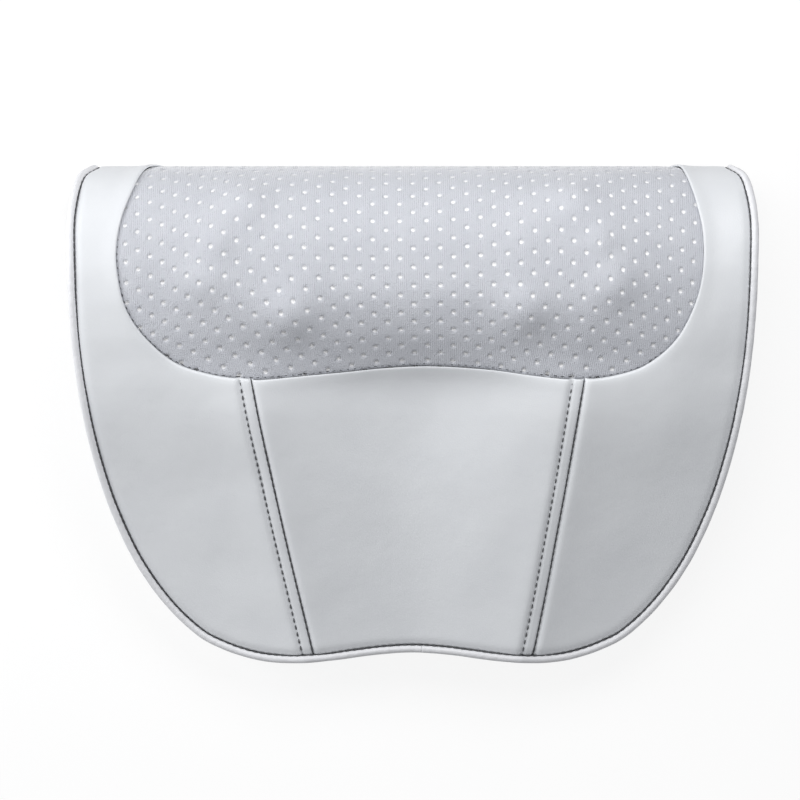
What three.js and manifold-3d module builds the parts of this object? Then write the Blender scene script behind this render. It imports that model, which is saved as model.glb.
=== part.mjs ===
import * as THREE from 'three';
import { mergeVertices } from 'three/addons/utils/BufferGeometryUtils.js';
import Module from 'manifold-3d';

// A neck massage pillow lying on its flat back: +Z is the side that meets the neck,
// +Y is the thick roll that holds the kneading heads, +X is the right-hand end.
// Lengths are in millimetres.

const wasm = await Module();
wasm.setup();

// Heads and drive that the pillow is built round
const fitGap = 0.3;
const rotorRise = 1;
const headCircle = 31;
const bigHeadRadius = 12;
const wheelPitchRadius = 24;
const wormPitchRadius = 5;
const motorRadius = 17;
const strapThickness = 2;
const strapFoot = 5;
const headReach = rotorRise + headCircle + bigHeadRadius;
const wormReach = wheelPitchRadius + wormPitchRadius - rotorRise;
const motorReach = wormReach + motorRadius + fitGap + strapThickness + strapFoot;

// Pillow
const halfWidth = 190.2;
const halfHeight = 137.3;
const rollClearance = 8.3;
const rollDepth = headReach + rollClearance;
const rollApexY = halfHeight - rollDepth;
const rollApexZ = 102;
const rollMidZ = 50;
const rollFullness = 2.4;

// Cover
const leatherThickness = 1.4;
const meshThickness = 1.2;
const linerThickness = 2;
const linerGap = 1.35;
const backThickness = 1.6;
const seamGap = 0.3;
const windowGap = 0.5;
const windowOverrun = 2;
const pipingRadius = 2.2;
const pipingGap = 0.5;
const pipingSink = 1.8;
const wallInset = 1.4;
const wallDrawIn = 3.5;
const wallTopY = halfHeight - rollClearance;
const wallSideShare = 0.5;
const wallMiddleShare = 0.5;
const leatherEdge = 2 * pipingRadius + pipingGap;
const cutOverrun = 6;
const probe = 0.5;

// Mesh window
const windowBorder = 29.2;
const meshHalfWidth = halfWidth - windowBorder;
const meshRise = 3;
const meshMidY = rollApexY + meshRise;
const meshReach = 67.6;
const meshBow = 7;
const meshSquareness = 3.5;
const meshTopShares = [[0, 1], [0.4, 0.965], [0.7, 0.9], [1, 0.8]];
const meshBowShare = 0.3;

// Seams between the centre panel and the outer panels
const seamBottomX = 61;
const seamLift = 6.3;
const seamBottomY = seamLift - halfHeight;
const seamTopX = 91.5;
const seamTopY = meshMidY - meshReach;

// Foam and mechanism bay
const bayHalfWidth = 140;
const bayMargin = 3.7;
const bayReach = motorReach + bayMargin;
const bayFrontY = rollApexY - bayReach;
const bayClearance = 4;
const bayFrontClearance = 2;
const baseHalfWidth = bayHalfWidth - bayClearance;
const foamClearance = 1.2;
const foamSideInset = 8;
const foamBackZ = 2;
const formRowPower = 1.4;
const formFallPower = 3;
const formDepthShare = 1.2;
const formLowShare = 0.4;
const padTopZ = 7.5;

// Edge of the pillow in plan: height share against width share
const sideShares = [
  [-0.903, 0.61], [-0.82, 0.682], [-0.64, 0.786], [-0.4, 0.873], [-0.16, 0.93], [0.08, 0.967],
  [0.32, 0.989], [0.62, 1], [0.84, 0.998], [0.932, 0.982], [1, 0.953],
];
const bottomShares = [
  [-0.095, -0.964], [0, -0.956], [0.095, -0.964], [0.17, -0.977], [0.24, -0.99], [0.345, -1],
  [0.44, -0.99], [0.51, -0.965], [0.56, -0.938], [0.61, -0.903], [0.682, -0.82], [0.73, -0.75],
];
const cornerHeightShare = -0.82;

// Height of the front: distance from the roll's apex as a share of the motor's reach
// in front of it, against centre, seam and edge heights
const frontShares = [
  [-4.25, 0.297, 0.348, 0.267], [-3.83, 0.33, 0.388, 0.285], [-3.15, 0.404, 0.477, 0.36],
  [-2.39, 0.495, 0.605, 0.492], [-1.63, 0.592, 0.742, 0.676], [-1.34, 0.648, 0.778, 0.736],
  [-1.05, 0.752, 0.828, 0.785], [-0.76, 0.88, 0.91, 0.84], [-0.39, 0.98, 0.98, 0.9], [0, 1, 1, 0.93],
  [0.39, 0.98, 0.98, 0.9],
];
const lateralShares = [[-1, 0.6], [-0.82, 0.7], [-0.64, 0.786], [-0.4, 0.873], [0.08, 0.967], [0.62, 1]];
const panelFall = 1.5;

// Angles round the roll, from its apex towards the back
const leatherEnd = THREE.MathUtils.degToRad(126.5);
const meshEnd = THREE.MathUtils.degToRad(127);
const pipingEnd = THREE.MathUtils.degToRad(113);
const tapeStart = THREE.MathUtils.degToRad(127.5);
const tapeEnd = THREE.MathUtils.degToRad(141);
const backStart = THREE.MathUtils.degToRad(141.5);
const zipAngle = THREE.MathUtils.degToRad(134.5);

// Zip
const tapeHalfLength = 165;
const chainInset = 13;
const chainHalfLength = tapeHalfLength - chainInset;
const chainWidth = 5;
const chainHeight = 1.6;
const sliderLength = 11;
const sliderWidth = 8.4;
const sliderHeight = 3.4;
const sliderInset = 8;
const sliderRestX = chainHalfLength - sliderInset;
const pullLength = 26;
const pullWidth = 6.5;
const pullThickness = 1.2;
const loopHeight = 3.4;
const loopWidth = 2.2;
const loopLength = 5;
const loopBar = 1.2;

// Kneading rotors
const rotorInset = 47.6;
const rotorX = baseHalfWidth - rotorInset;
const rotorY = rollApexY + rotorRise;
const headAngles = [94, 207, 320];
const bigHeadIndex = 2;
const smallHeadRadius = 10;
const headHeight = 17.6;
const headBaseZ = 64;
const headShares = [
  [0, 0], [0.8, 0], [1, 0.14], [1, 0.36], [0.72, 0.66], [0.42, 0.82], [0.34, 0.95], [0, 1],
];
const carrierThickness = 5;
const carrierHubRadius = 12;
const carrierHubHeight = 7;
const armWidth = 12;
const padRadius = 8;
const shaftRadius = 4;
const bushRadius = 7.5;
const bushFlangeRadius = 9.5;
const bushFlange = 1.6;

// Worm drive
const toothCount = 24;
const wheelAddendum = 1.5;
const wheelDedendum = 2;
const wheelWidth = 9;
const wheelHubRadius = 9;
const wheelHubHeight = 3;
const wormAddendum = 1.5;
const wormDedendum = 1.8;
const wormLength = 22;
const toothThickness = 2.4;
const pressureSlope = Math.tan(THREE.MathUtils.degToRad(20));
const driveZ = 31;
const driveShaftRadius = 2;
const bearingOffset = 17.6;
const bearingX = rotorX + bearingOffset;
const shaftOverrun = 5;
const driveHalfLength = bearingX + shaftOverrun;
const bearingLength = 6;
const bearingWidth = 14;
const bearingTop = 6;
const motorHalfLength = 28;
const motorBossRadius = 6;
const motorBossLength = 3;
const strapHalfLength = 9;
const strapFootThickness = 2.5;

// Mechanism plates
const baseBottomZ = 8;
const plateThickness = 3;
const baseFrontY = bayFrontY + bayFrontClearance;
const baseReach = 28;
const baseBackY = rollApexY + baseReach;
const coverBottomZ = 51;
const coverBackY = rollApexY + headReach;
const plateCorner = 12;
const bossRadius = 10.5;
const bossHeight = 8;
const postRadius = 4;
const postInset = 7;
const postX = baseHalfWidth - postInset;
const postFrontY = baseFrontY + postInset;
const postBackY = baseBackY - postInset;
const screwRadius = 1.3;
const screwHeadRadius = 3;
const screwHeadHeight = 2;
const screwDepth = 10;
const screwClearance = 0.4;

// Heater lamps and boards
const boardThickness = 1.6;
const heatBoardWidth = 40;
const heatBoardLength = 64;
const lensRadius = 7;
const lensHeight = 6;
const lensSpacing = 20;
const lensCount = 3;
const standoffRadius = 2.5;
const standoffHeight = 4;
const boardInset = 38.4;
const boardX = rotorX - boardInset;
const boardForward = 4;
const boardFrontY = rotorY - boardForward;
const boardDepth = 26;
const boardBackY = boardFrontY + boardDepth;
const chipSize = [12, 9, 3];
const canRadius = 5;
const canHeight = 12;
const connectorSize = [8, 10, 6];

// Control plate on the right side wall
const controlHeightShare = -0.306;
const controlY = controlHeightShare * halfHeight;
const plateHalfLength = 27;
const plateHalfHeight = 9.5;
const plateCornerRadius = 5;
const plateProud = 1.6;
const plateFlange = 1.6;
const plateDepth = 7;
const plateRim = 2.5;
const buttonRadius = 6;
const buttonSpacing = 13;
const buttonFlange = 1.2;
const buttonFlangeRadius = 7;
const buttonTravel = 1.2;
const stemRadius = 2;
const switchSize = [3, 6, 6];
const switchGap = 0.3;

// Power inlet and its lead
const inletHeightShare = -0.641;
const inletY = inletHeightShare * halfHeight;
const inletRadius = 5.5;
const inletFlangeRadius = 7;
const inletFlange = 1.5;
const inletBore = 3.2;
const inletDepth = 12;
const inletFloor = 2.5;
const inletPinRadius = 1;
const inletPinLength = 8;
const leadRadius = 1.8;
const channelRadius = 3;
const leadStart = 13.4;
const leadRunZ = 15.2;
const leadEndGap = 0.5;

// Way of the lead from the inlet to the board: shares of the distance along X and Y,
// and of its drop
const leadShares = [
  [0, 0, 0], [0.07, 0.022, 0], [0.184, 0.086, 0.31], [0.305, 0.177, 0.83], [0.426, 0.29, 0.96],
  [0.547, 0.415, 1], [0.643, 0.54, 1], [0.716, 0.665, 1], [0.752, 0.779, 1], [0.788, 0.881, 0.88],
  [0.837, 0.955, 0.54], [0.909, 0.994, 0.25], [1, 1, 0.21],
];

// Facet counts
const rollRows = 23;
const panelColumns = 6;
const centreColumns = 8;
const meshCounts = [20, 7, 9];
const linerCounts = [10, 4, 5];
const wallRows = 28;
const wallColumns = 3;
const wallSpacing = 1.5;
const formColumns = 18;
const formRows = 16;
const pipingSteps = 88;
const pipingSides = 6;
const pipingSidePoints = 26;
const pipingBottomPoints = 12;
const roundSides = 16;
const smallSides = 8;
const leadSteps = 20;
const leadSides = 8;
const channelSides = 6;
const headSides = 12;
const wormSteps = 12;
const centreRows = 14;
const backRollRows = 6;
const backFlatRows = 10;
const backColumns = 8;
const tapeRows = 2;
const cornerSegments = 4;
const strapSegments = 12;

// Height tables are read with a smooth curve through their points
function follow(shares, at, column) {
  const last = shares.length - 2;
  let i = 0;
  while (i < last && shares[i + 1][0] < at) i += 1;
  const slope = (k) => (shares[k + 1][column] - shares[k][column]) / (shares[k + 1][0] - shares[k][0]);
  const here = slope(i);
  const startSlope = i > 0 ? (slope(i - 1) + here) / 2 : here;
  const endSlope = i < last ? (slope(i + 1) + here) / 2 : here;
  const span = shares[i + 1][0] - shares[i][0];
  const t = THREE.MathUtils.clamp((at - shares[i][0]) / span, 0, 1);
  const rise = t * t * (3 - 2 * t);
  const bend = startSlope * t * (1 - t) * (1 - t) - endSlope * t * t * (1 - t);
  return shares[i][column] + (shares[i + 1][column] - shares[i][column]) * rise + bend * span;
}

const edgeX = (y) => halfWidth * follow(sideShares, y / halfHeight, 1);
const bottomY = (x) => halfHeight * follow(bottomShares, Math.abs(x) / halfWidth, 1);
const seamX = (y) => seamBottomX + (y - seamBottomY) * (seamTopX - seamBottomX) / (seamTopY - seamBottomY);

function frontZ(x, y) {
  const at = (y - rollApexY) / motorReach;
  const centre = rollApexZ * follow(frontShares, at, 1);
  const ridge = rollApexZ * follow(frontShares, at, 2);
  const edge = rollApexZ * follow(frontShares, at, 3);
  const side = Math.abs(x);
  const seam = seamX(y);
  if (side < seam) {
    const t = side / seam;
    return centre + (ridge - centre) * t * t * (3 - 2 * t);
  }
  const reach = halfWidth * follow(lateralShares, y / halfHeight, 1);
  const t = THREE.MathUtils.clamp((side - seam) / (reach - seam), 0, 1);
  return edge + (ridge - edge) * (1 - t) ** panelFall;
}

// Distance from the roll's middle at an angle from its apex, for a section that is
// fuller than an ellipse
function rollPoint(x, angle) {
  const top = angle < Math.PI / 2 ? frontZ(x, rollApexY) - rollMidZ : rollMidZ;
  const across = Math.sin(angle) / rollDepth;
  const up = Math.cos(angle) / top;
  const reach = (Math.abs(across) ** rollFullness + Math.abs(up) ** rollFullness) ** (-1 / rollFullness);
  return new THREE.Vector3(x, rollApexY + reach * Math.sin(angle), rollMidZ + reach * Math.cos(angle));
}

// The front as a pattern sheet: x across, run along it from the bottom edge up and
// over the roll
const runAt = (angle) => rollApexY + angle * rollDepth;

function sheetPoint(x, run) {
  if (run <= rollApexY) return new THREE.Vector3(x, run, frontZ(x, run));
  return rollPoint(x, (run - rollApexY) / rollDepth);
}

function sheetNormal(x, run) {
  const across = sheetPoint(x + probe, run).sub(sheetPoint(x - probe, run));
  const along = sheetPoint(x, run + probe).sub(sheetPoint(x, run - probe));
  return across.cross(along).normalize();
}

function sheetInside(x, run, depth) {
  return sheetPoint(x, run).addScaledVector(sheetNormal(x, run), -depth);
}

// Right-hand edge and bottom edge of the plan, moved in by an inset
function sidePlan(y, inset) {
  const slope = (edgeX(y + probe) - edgeX(y - probe)) / (2 * probe);
  return edgeX(y) - inset * Math.hypot(1, slope);
}

function bottomPlan(x, inset) {
  const slope = (bottomY(x + probe) - bottomY(x - probe)) / (2 * probe);
  return bottomY(x) + inset * Math.hypot(1, slope);
}

function cornerPlan(inset) {
  const y = cornerHeightShare * halfHeight;
  const slope = (edgeX(y + probe) - edgeX(y - probe)) / (2 * probe);
  const unit = Math.hypot(1, slope);
  return [edgeX(y) - inset / unit, y + inset * slope / unit];
}

function planY(run) {
  return run <= rollApexY ? run : rollPoint(0, (run - rollApexY) / rollDepth).y;
}

// A patch between four edge curves, each given by a share from 0 to 1
function patch(inner, outer, bottom, top) {
  const c00 = inner(0);
  const c10 = outer(0);
  const c01 = inner(1);
  const c11 = outer(1);
  return (u, v) => [0, 1].map((k) => (1 - u) * inner(v)[k] + u * outer(v)[k]
    + (1 - v) * top(u)[k] + v * bottom(u)[k]
    - (1 - u) * (1 - v) * c00[k] - u * (1 - v) * c10[k] - (1 - u) * v * c01[k] - u * v * c11[k]);
}

const mix = (a, b, t) => a + (b - a) * t;

// Right-hand half of the front from an inner line to the edge
function outerPatch(innerX, inset, startRun) {
  const corner = cornerPlan(inset);
  const endX = innerX(seamBottomY);
  const endY = bottomPlan(endX, inset);
  const inner = (v) => {
    const run = mix(startRun, endY, v);
    return [innerX(run), run];
  };
  const outer = (v) => {
    const run = mix(startRun, corner[1], v);
    return [v === 1 ? corner[0] : sidePlan(planY(run), inset), run];
  };
  const bottom = (u) => {
    const x = mix(endX, corner[0], u);
    return [x, u === 1 ? corner[1] : bottomPlan(x, inset)];
  };
  const top = (u) => [mix(innerX(startRun), outer(0)[0], u), startRun];
  return patch(inner, outer, bottom, top);
}

// Solids from grids: outside and inside surfaces joined by a rim
function closeSheet(columns, rows, outside, inside) {
  const positions = [];
  const index = [];
  const across = columns + 1;
  const layer = across * (rows + 1);
  for (const surface of [outside, inside]) {
    for (let j = 0; j <= rows; j += 1) {
      for (let i = 0; i <= columns; i += 1) positions.push(...surface(i / columns, j / rows).toArray());
    }
  }
  const quad = (a, b, c, d) => index.push(a, b, c, a, c, d);
  for (let j = 0; j < rows; j += 1) {
    for (let i = 0; i < columns; i += 1) {
      const a = j * across + i;
      quad(a, a + across, a + across + 1, a + 1);
      quad(layer + a, layer + a + 1, layer + a + across + 1, layer + a + across);
    }
  }
  for (let i = 0; i < columns; i += 1) {
    const low = rows * across + i;
    quad(i, i + 1, layer + i + 1, layer + i);
    quad(low + 1, low, layer + low, layer + low + 1);
  }
  for (let j = 0; j < rows; j += 1) {
    const left = j * across;
    const right = left + columns;
    quad(left + across, left, layer + left, layer + left + across);
    quad(right, right + across, layer + right + across, layer + right);
  }
  return tidy(positions, index);
}

function tidy(positions, index) {
  const geometry = new THREE.BufferGeometry();
  geometry.setAttribute('position', new THREE.Float32BufferAttribute(positions, 3));
  geometry.setIndex(index);
  return outward(mergeVertices(geometry));
}

function signedVolume(geometry) {
  const p = geometry.getAttribute('position');
  const corners = [new THREE.Vector3(), new THREE.Vector3(), new THREE.Vector3()];
  const index = geometry.getIndex().array;
  let sum = 0;
  for (let k = 0; k < index.length; k += 3) {
    corners.forEach((corner, n) => corner.fromBufferAttribute(p, index[k + n]));
    sum += corners[0].dot(corners[1].clone().cross(corners[2]));
  }
  return sum;
}

function outward(geometry) {
  if (signedVolume(geometry) > 0) return geometry;
  const index = Array.from(geometry.getIndex().array);
  for (let k = 0; k < index.length; k += 3) [index[k], index[k + 1]] = [index[k + 1], index[k]];
  geometry.setIndex(index);
  return geometry;
}

// Joins and cuts
function toSolid(geometry) {
  const bare = geometry.clone();
  bare.deleteAttribute('normal');
  bare.deleteAttribute('uv');
  const merged = outward(mergeVertices(bare));
  const vertProperties = new Float32Array(merged.getAttribute('position').array);
  const triVerts = new Uint32Array(merged.getIndex().array);
  return new wasm.Manifold(new wasm.Mesh({ numProp: 3, vertProperties, triVerts }));
}

function fromSolid(solid) {
  const mesh = solid.getMesh();
  return tidy(Array.from(mesh.vertProperties), Array.from(mesh.triVerts));
}

function combine(base, added, removed = []) {
  let solid = toSolid(base);
  for (const piece of added) solid = solid.add(toSolid(piece));
  for (const piece of removed) solid = solid.subtract(toSolid(piece));
  return fromSolid(solid);
}

function keepInside(base, region) {
  return fromSolid(toSolid(base).intersect(toSolid(region)));
}

// Plain shapes, placed
function slab(x0, x1, y0, y1, z0, z1) {
  return new THREE.BoxGeometry(x1 - x0, y1 - y0, z1 - z0)
    .translate((x0 + x1) / 2, (y0 + y1) / 2, (z0 + z1) / 2);
}

function post(radius, x, y, z0, z1, sides = roundSides) {
  return new THREE.CylinderGeometry(radius, radius, z1 - z0, sides)
    .rotateX(Math.PI / 2).translate(x, y, (z0 + z1) / 2);
}

function rod(radius, x0, x1, y, z, sides = roundSides) {
  return new THREE.CylinderGeometry(radius, radius, x1 - x0, sides)
    .rotateZ(Math.PI / 2).translate((x0 + x1) / 2, y, z);
}

function roundedOutline(x0, x1, y0, y1, radius) {
  const outline = new THREE.Shape();
  outline.moveTo(x0 + radius, y0);
  outline.lineTo(x1 - radius, y0);
  outline.absarc(x1 - radius, y0 + radius, radius, -Math.PI / 2, 0);
  outline.lineTo(x1, y1 - radius);
  outline.absarc(x1 - radius, y1 - radius, radius, 0, Math.PI / 2);
  outline.lineTo(x0 + radius, y1);
  outline.absarc(x0 + radius, y1 - radius, radius, Math.PI / 2, Math.PI);
  outline.lineTo(x0, y0 + radius);
  outline.absarc(x0 + radius, y0 + radius, radius, Math.PI, 1.5 * Math.PI);
  return outline;
}

function plate(outline, z0, z1) {
  const options = { depth: z1 - z0, bevelEnabled: false, curveSegments: cornerSegments };
  return new THREE.ExtrudeGeometry(outline, options).translate(0, 0, z0);
}

function tubeAlong(points, radius, steps, sides) {
  const section = new THREE.Shape();
  for (let i = 0; i < sides; i += 1) {
    const angle = i / sides * 2 * Math.PI;
    const corner = [radius * Math.cos(angle), radius * Math.sin(angle)];
    if (i === 0) section.moveTo(...corner);
    else section.lineTo(...corner);
  }
  section.closePath();
  const extrudePath = new THREE.CatmullRomCurve3(points);
  return new THREE.ExtrudeGeometry(section, { steps, extrudePath, bevelEnabled: false });
}

// Each piece joins the group with its own material
const pillow = new THREE.Group();

function add(name, geometry, look, parent = pillow) {
  const mesh = new THREE.Mesh(geometry, new THREE.MeshStandardMaterial(look));
  mesh.name = name;
  parent.add(mesh);
  return mesh;
}

const leather = { color: 0xdcdee2, roughness: 0.5, metalness: 0 };
const meshCloth = { color: 0xc9ccd1, roughness: 0.8, metalness: 0 };
const paleTrim = { color: 0xd9dae2, roughness: 0.5, metalness: 0 };
const lining = { color: 0xeeeeee, roughness: 0.9, metalness: 0 };
const foam = { color: 0xe8e2c8, roughness: 1, metalness: 0 };
const zipGrey = { color: 0x8f9298, roughness: 0.6, metalness: 0 };
const steel = { color: 0xb8bbc0, roughness: 0.3, metalness: 1 };
const brass = { color: 0xb59a50, roughness: 0.35, metalness: 1 };
const whitePlastic = { color: 0xe6e6e6, roughness: 0.5, metalness: 0 };
const blackPlastic = { color: 0x222326, roughness: 0.5, metalness: 0 };
const headPlastic = { color: 0xf0efe8, roughness: 0.35, metalness: 0 };
const boardGreen = { color: 0x1f6b3a, roughness: 0.5, metalness: 0 };
const lensRed = { color: 0xb02020, roughness: 0.2, metalness: 0 };

// Mesh window: a shape with round lower corners that narrows over the roll
function meshPatch(grow, lowerShare) {
  const topRun = runAt(meshEnd);
  const wide = meshHalfWidth + grow;
  return (u, v) => {
    const p = 2 * u - 1;
    const q = v < lowerShare ? v / lowerShare - 1 : (v - lowerShare) / (1 - lowerShare);
    if (q >= 0) {
      const run = mix(meshMidY, topRun, q);
      return [p * (meshHalfWidth * follow(meshTopShares, q, 1) + grow), run];
    }
    const square = Math.max(Math.abs(p), -q);
    const round = (Math.abs(p) ** meshSquareness + Math.abs(q) ** meshSquareness) ** (1 / meshSquareness);
    const x = p * square / round;
    const bow = meshBow * Math.exp(-((x / meshBowShare) ** 2));
    return [x * wide, meshMidY + q * square / round * (meshReach - bow + grow)];
  };
}

function meshSheet(grow, outsideDepth, insideDepth, counts = meshCounts) {
  const [columns, lower, upper] = counts;
  const map = meshPatch(grow, lower / (lower + upper));
  const at = (u, v, depth) => {
    const [x, run] = map(u, v);
    return sheetInside(x, run, depth);
  };
  return closeSheet(
    columns,
    lower + upper,
    (u, v) => at(u, v, outsideDepth),
    (u, v) => at(u, v, insideDepth),
  );
}

const meshOpening = meshSheet(windowGap, -windowOverrun, leatherThickness + windowOverrun);
add('mesh_panel', meshSheet(0, 0, meshThickness), meshCloth);
const linerTop = meshThickness + linerGap;
const linerSheet = (grow, top, bottom) => meshSheet(grow, top, bottom, linerCounts);
add('mesh_liner', linerSheet(-linerGap, linerTop, linerTop + linerThickness), lining);

// Leather panels of the front
function leatherSheet(map, columns, rows) {
  const at = (u, v, depth) => sheetInside(...map(u, v), depth);
  return closeSheet(columns, rows, (u, v) => at(u, v, 0), (u, v) => at(u, v, leatherThickness));
}

function mirrored(geometry) {
  const copy = geometry.clone().scale(-1, 1, 1);
  const index = Array.from(copy.getIndex().array);
  for (let k = 0; k < index.length; k += 3) [index[k], index[k + 1]] = [index[k + 1], index[k]];
  copy.setIndex(index);
  return copy;
}

const outerSeam = (run) => seamX(Math.min(run, rollApexY)) + seamGap / 2;
const outerMap = outerPatch(outerSeam, leatherEdge, runAt(leatherEnd));
const outerPanel = combine(leatherSheet(outerMap, panelColumns, rollRows), [], [meshOpening]);
add('cover_right', outerPanel, leather);
add('cover_left', mirrored(outerPanel), leather);

const centreMap = (u, v) => {
  const share = 2 * u - 1;
  const reach = seamX(seamBottomY) - seamGap / 2;
  const foot = bottomPlan(share * reach, leatherEdge);
  const run = mix(meshMidY, foot, v);
  return [share * (seamX(run) - seamGap / 2), run];
};
add('cover_centre', combine(leatherSheet(centreMap, centreColumns, centreRows), [], [meshOpening]), leather);

// Piping round the front edge, from behind the roll at one end to the other
function edgePath() {
  const points = [];
  const corner = cornerPlan(pipingRadius);
  const sink = (x, run) => sheetInside(x, run, pipingSink);
  const start = runAt(pipingEnd);
  for (let i = 0; i < pipingSidePoints; i += 1) {
    const run = mix(start, corner[1], i / pipingSidePoints);
    points.push(sink(sidePlan(planY(run), pipingRadius), run));
  }
  for (let i = 0; i <= pipingBottomPoints; i += 1) {
    const x = mix(corner[0], 0, i / pipingBottomPoints);
    points.push(sink(x, i === 0 ? corner[1] : bottomPlan(x, pipingRadius)));
  }
  const left = points.slice(0, -1).reverse().map((p) => new THREE.Vector3(-p.x, p.y, p.z));
  return points.concat(left);
}
add('front_piping', tubeAlong(edgePath(), pipingRadius, pipingSteps, pipingSides), paleTrim);

// Side walls, drawn in between the piping and the back
function backZ(y) {
  if (y <= rollApexY) return 0;
  const share = Math.min((y - rollApexY) / rollDepth, 1);
  return rollMidZ * (1 - (1 - share ** rollFullness) ** (1 / rollFullness));
}

function frontEdgeZ(x, y) {
  if (y <= rollApexY) return frontZ(x, y);
  const share = Math.min((y - rollApexY) / rollDepth, 1);
  const top = frontZ(x, rollApexY) - rollMidZ;
  return rollMidZ + top * (1 - share ** rollFullness) ** (1 / rollFullness);
}

// Lowest and highest point of the wall, clear of the back and of the piping
function wallSpan(x, y) {
  const backSlope = (backZ(y + probe) - backZ(y - probe)) / (2 * probe);
  const frontSlope = (frontEdgeZ(x, y + probe) - frontEdgeZ(x, y - probe)) / (2 * probe);
  const low = backZ(y) + (backThickness + fitGap) * Math.hypot(1, backSlope);
  const drop = pipingSink + pipingRadius + pipingGap;
  return [low, frontEdgeZ(x, y) - drop * Math.hypot(1, frontSlope)];
}

const drawIn = (band) => wallInset + wallDrawIn * 4 * band * (1 - band);

function wallPoint(v, band, inset) {
  const drawn = drawIn(band) + inset;
  const corner = cornerPlan(drawn);
  let x;
  let y;
  if (v < wallSideShare) {
    y = mix(wallTopY, corner[1], (v / wallSideShare) ** wallSpacing);
    x = sidePlan(y, drawn);
  } else {
    x = mix(corner[0], seamGap / 2, (v - wallSideShare) / (1 - wallSideShare));
    y = bottomPlan(x, drawn);
  }
  return new THREE.Vector3(x, y, mix(...wallSpan(x, y), band));
}

const wallSolid = closeSheet(
  wallColumns,
  wallRows,
  (u, v) => wallPoint(v, u, 0),
  (u, v) => wallPoint(v, u, leatherThickness),
);

// A place on the right-hand wall with its own axes: x out of the wall, y along it
function wallFrame(y, z) {
  const [low, high] = wallSpan(edgeX(y), y);
  const drawn = drawIn((z - low) / (high - low));
  const slope = (edgeX(y + probe) - edgeX(y - probe)) / (2 * probe);
  const frame = new THREE.Matrix4().makeRotationZ(-Math.atan(slope));
  return frame.setPosition(sidePlan(y, drawn), y, z);
}

// Both fittings sit in the middle of the wall's height
const wallMiddle = (y) => mix(...wallSpan(edgeX(y), y), wallMiddleShare);
const inletZ = wallMiddle(inletY);
const controlFrame = wallFrame(controlY, wallMiddle(controlY));
const inletFrame = wallFrame(inletY, inletZ);
const inFrame = (geometry, frame) => geometry.clone().applyMatrix4(frame);

// A disc or a rounded plate whose thickness runs along its local x
const disc = (radius, x0, x1, y = 0, z = 0) => rod(radius, x0, x1, y, z);

function roundedPlate(halfLength, halfRise, radius, x0, x1) {
  const outline = roundedOutline(-halfLength, halfLength, -halfRise, halfRise, radius);
  return plate(outline, x0, x1).rotateX(Math.PI / 2).rotateZ(Math.PI / 2);
}

const wallReach = cutOverrun;
const plateWindow = inFrame(roundedPlate(
  plateHalfLength - plateRim + fitGap,
  plateHalfHeight - plateRim + fitGap,
  plateCornerRadius - plateRim + fitGap,
  -plateDepth - cutOverrun,
  wallReach,
), controlFrame);
const plateSeat = inFrame(roundedPlate(
  plateHalfLength + fitGap,
  plateHalfHeight + fitGap,
  plateCornerRadius + fitGap,
  plateProud - plateFlange - fitGap,
  wallReach,
), controlFrame);
const inletWindow = inFrame(disc(inletRadius + fitGap, -inletDepth - fitGap, wallReach), inletFrame);
const inletSeat = inFrame(disc(inletFlangeRadius + fitGap, -fitGap, wallReach), inletFrame);

add('side_wall_left', mirrored(wallSolid), leather);
add('side_wall_right', combine(wallSolid, [], [plateWindow, plateSeat, inletWindow, inletSeat]), leather);

// Back cover: flat, then up the rear of the roll to the zip
const backInset = wallInset;

function backPoint(u, v, depth) {
  const share = mix(-1, 1, u);
  const corner = cornerPlan(backInset);
  if (v * (backRollRows + backFlatRows) < backRollRows) {
    const angle = mix(backStart, Math.PI, v * (backRollRows + backFlatRows) / backRollRows);
    const point = sheetInside(0, runAt(angle), depth);
    return point.setX(share * sidePlan(planY(runAt(angle)), backInset));
  }
  const t = (v * (backRollRows + backFlatRows) - backRollRows) / backFlatRows;
  const sideY = mix(rollApexY, corner[1], t);
  const wide = t === 1 ? corner[0] : sidePlan(sideY, backInset);
  const lowest = bottomPlan(share * corner[0], backInset);
  return new THREE.Vector3(share * wide, sideY + (lowest - corner[1]) * t, depth);
}

add('back_panel', closeSheet(
  backColumns,
  backRollRows + backFlatRows,
  (u, v) => backPoint(u, v, 0),
  (u, v) => backPoint(u, v, backThickness),
), leather);

// Zip behind the roll
function tapePoint(u, v, depth) {
  return sheetInside(mix(-tapeHalfLength, tapeHalfLength, u), runAt(mix(tapeStart, tapeEnd, v)), depth);
}
add('zip_tape', closeSheet(
  1,
  tapeRows,
  (u, v) => tapePoint(u, v, 0),
  (u, v) => tapePoint(u, v, meshThickness),
), zipGrey);

const zipPlace = new THREE.Group();
const zipNormal = sheetNormal(0, runAt(zipAngle));
zipPlace.position.copy(sheetPoint(0, runAt(zipAngle)));
zipPlace.rotation.x = -Math.atan2(zipNormal.y, zipNormal.z);
pillow.add(zipPlace);
const chainBottom = fitGap;
const chainTop = chainBottom + chainHeight;
add('zip_chain', slab(
  -chainHalfLength,
  chainHalfLength,
  -chainWidth / 2,
  chainWidth / 2,
  chainBottom,
  chainTop,
), zipGrey, zipPlace);

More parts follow.
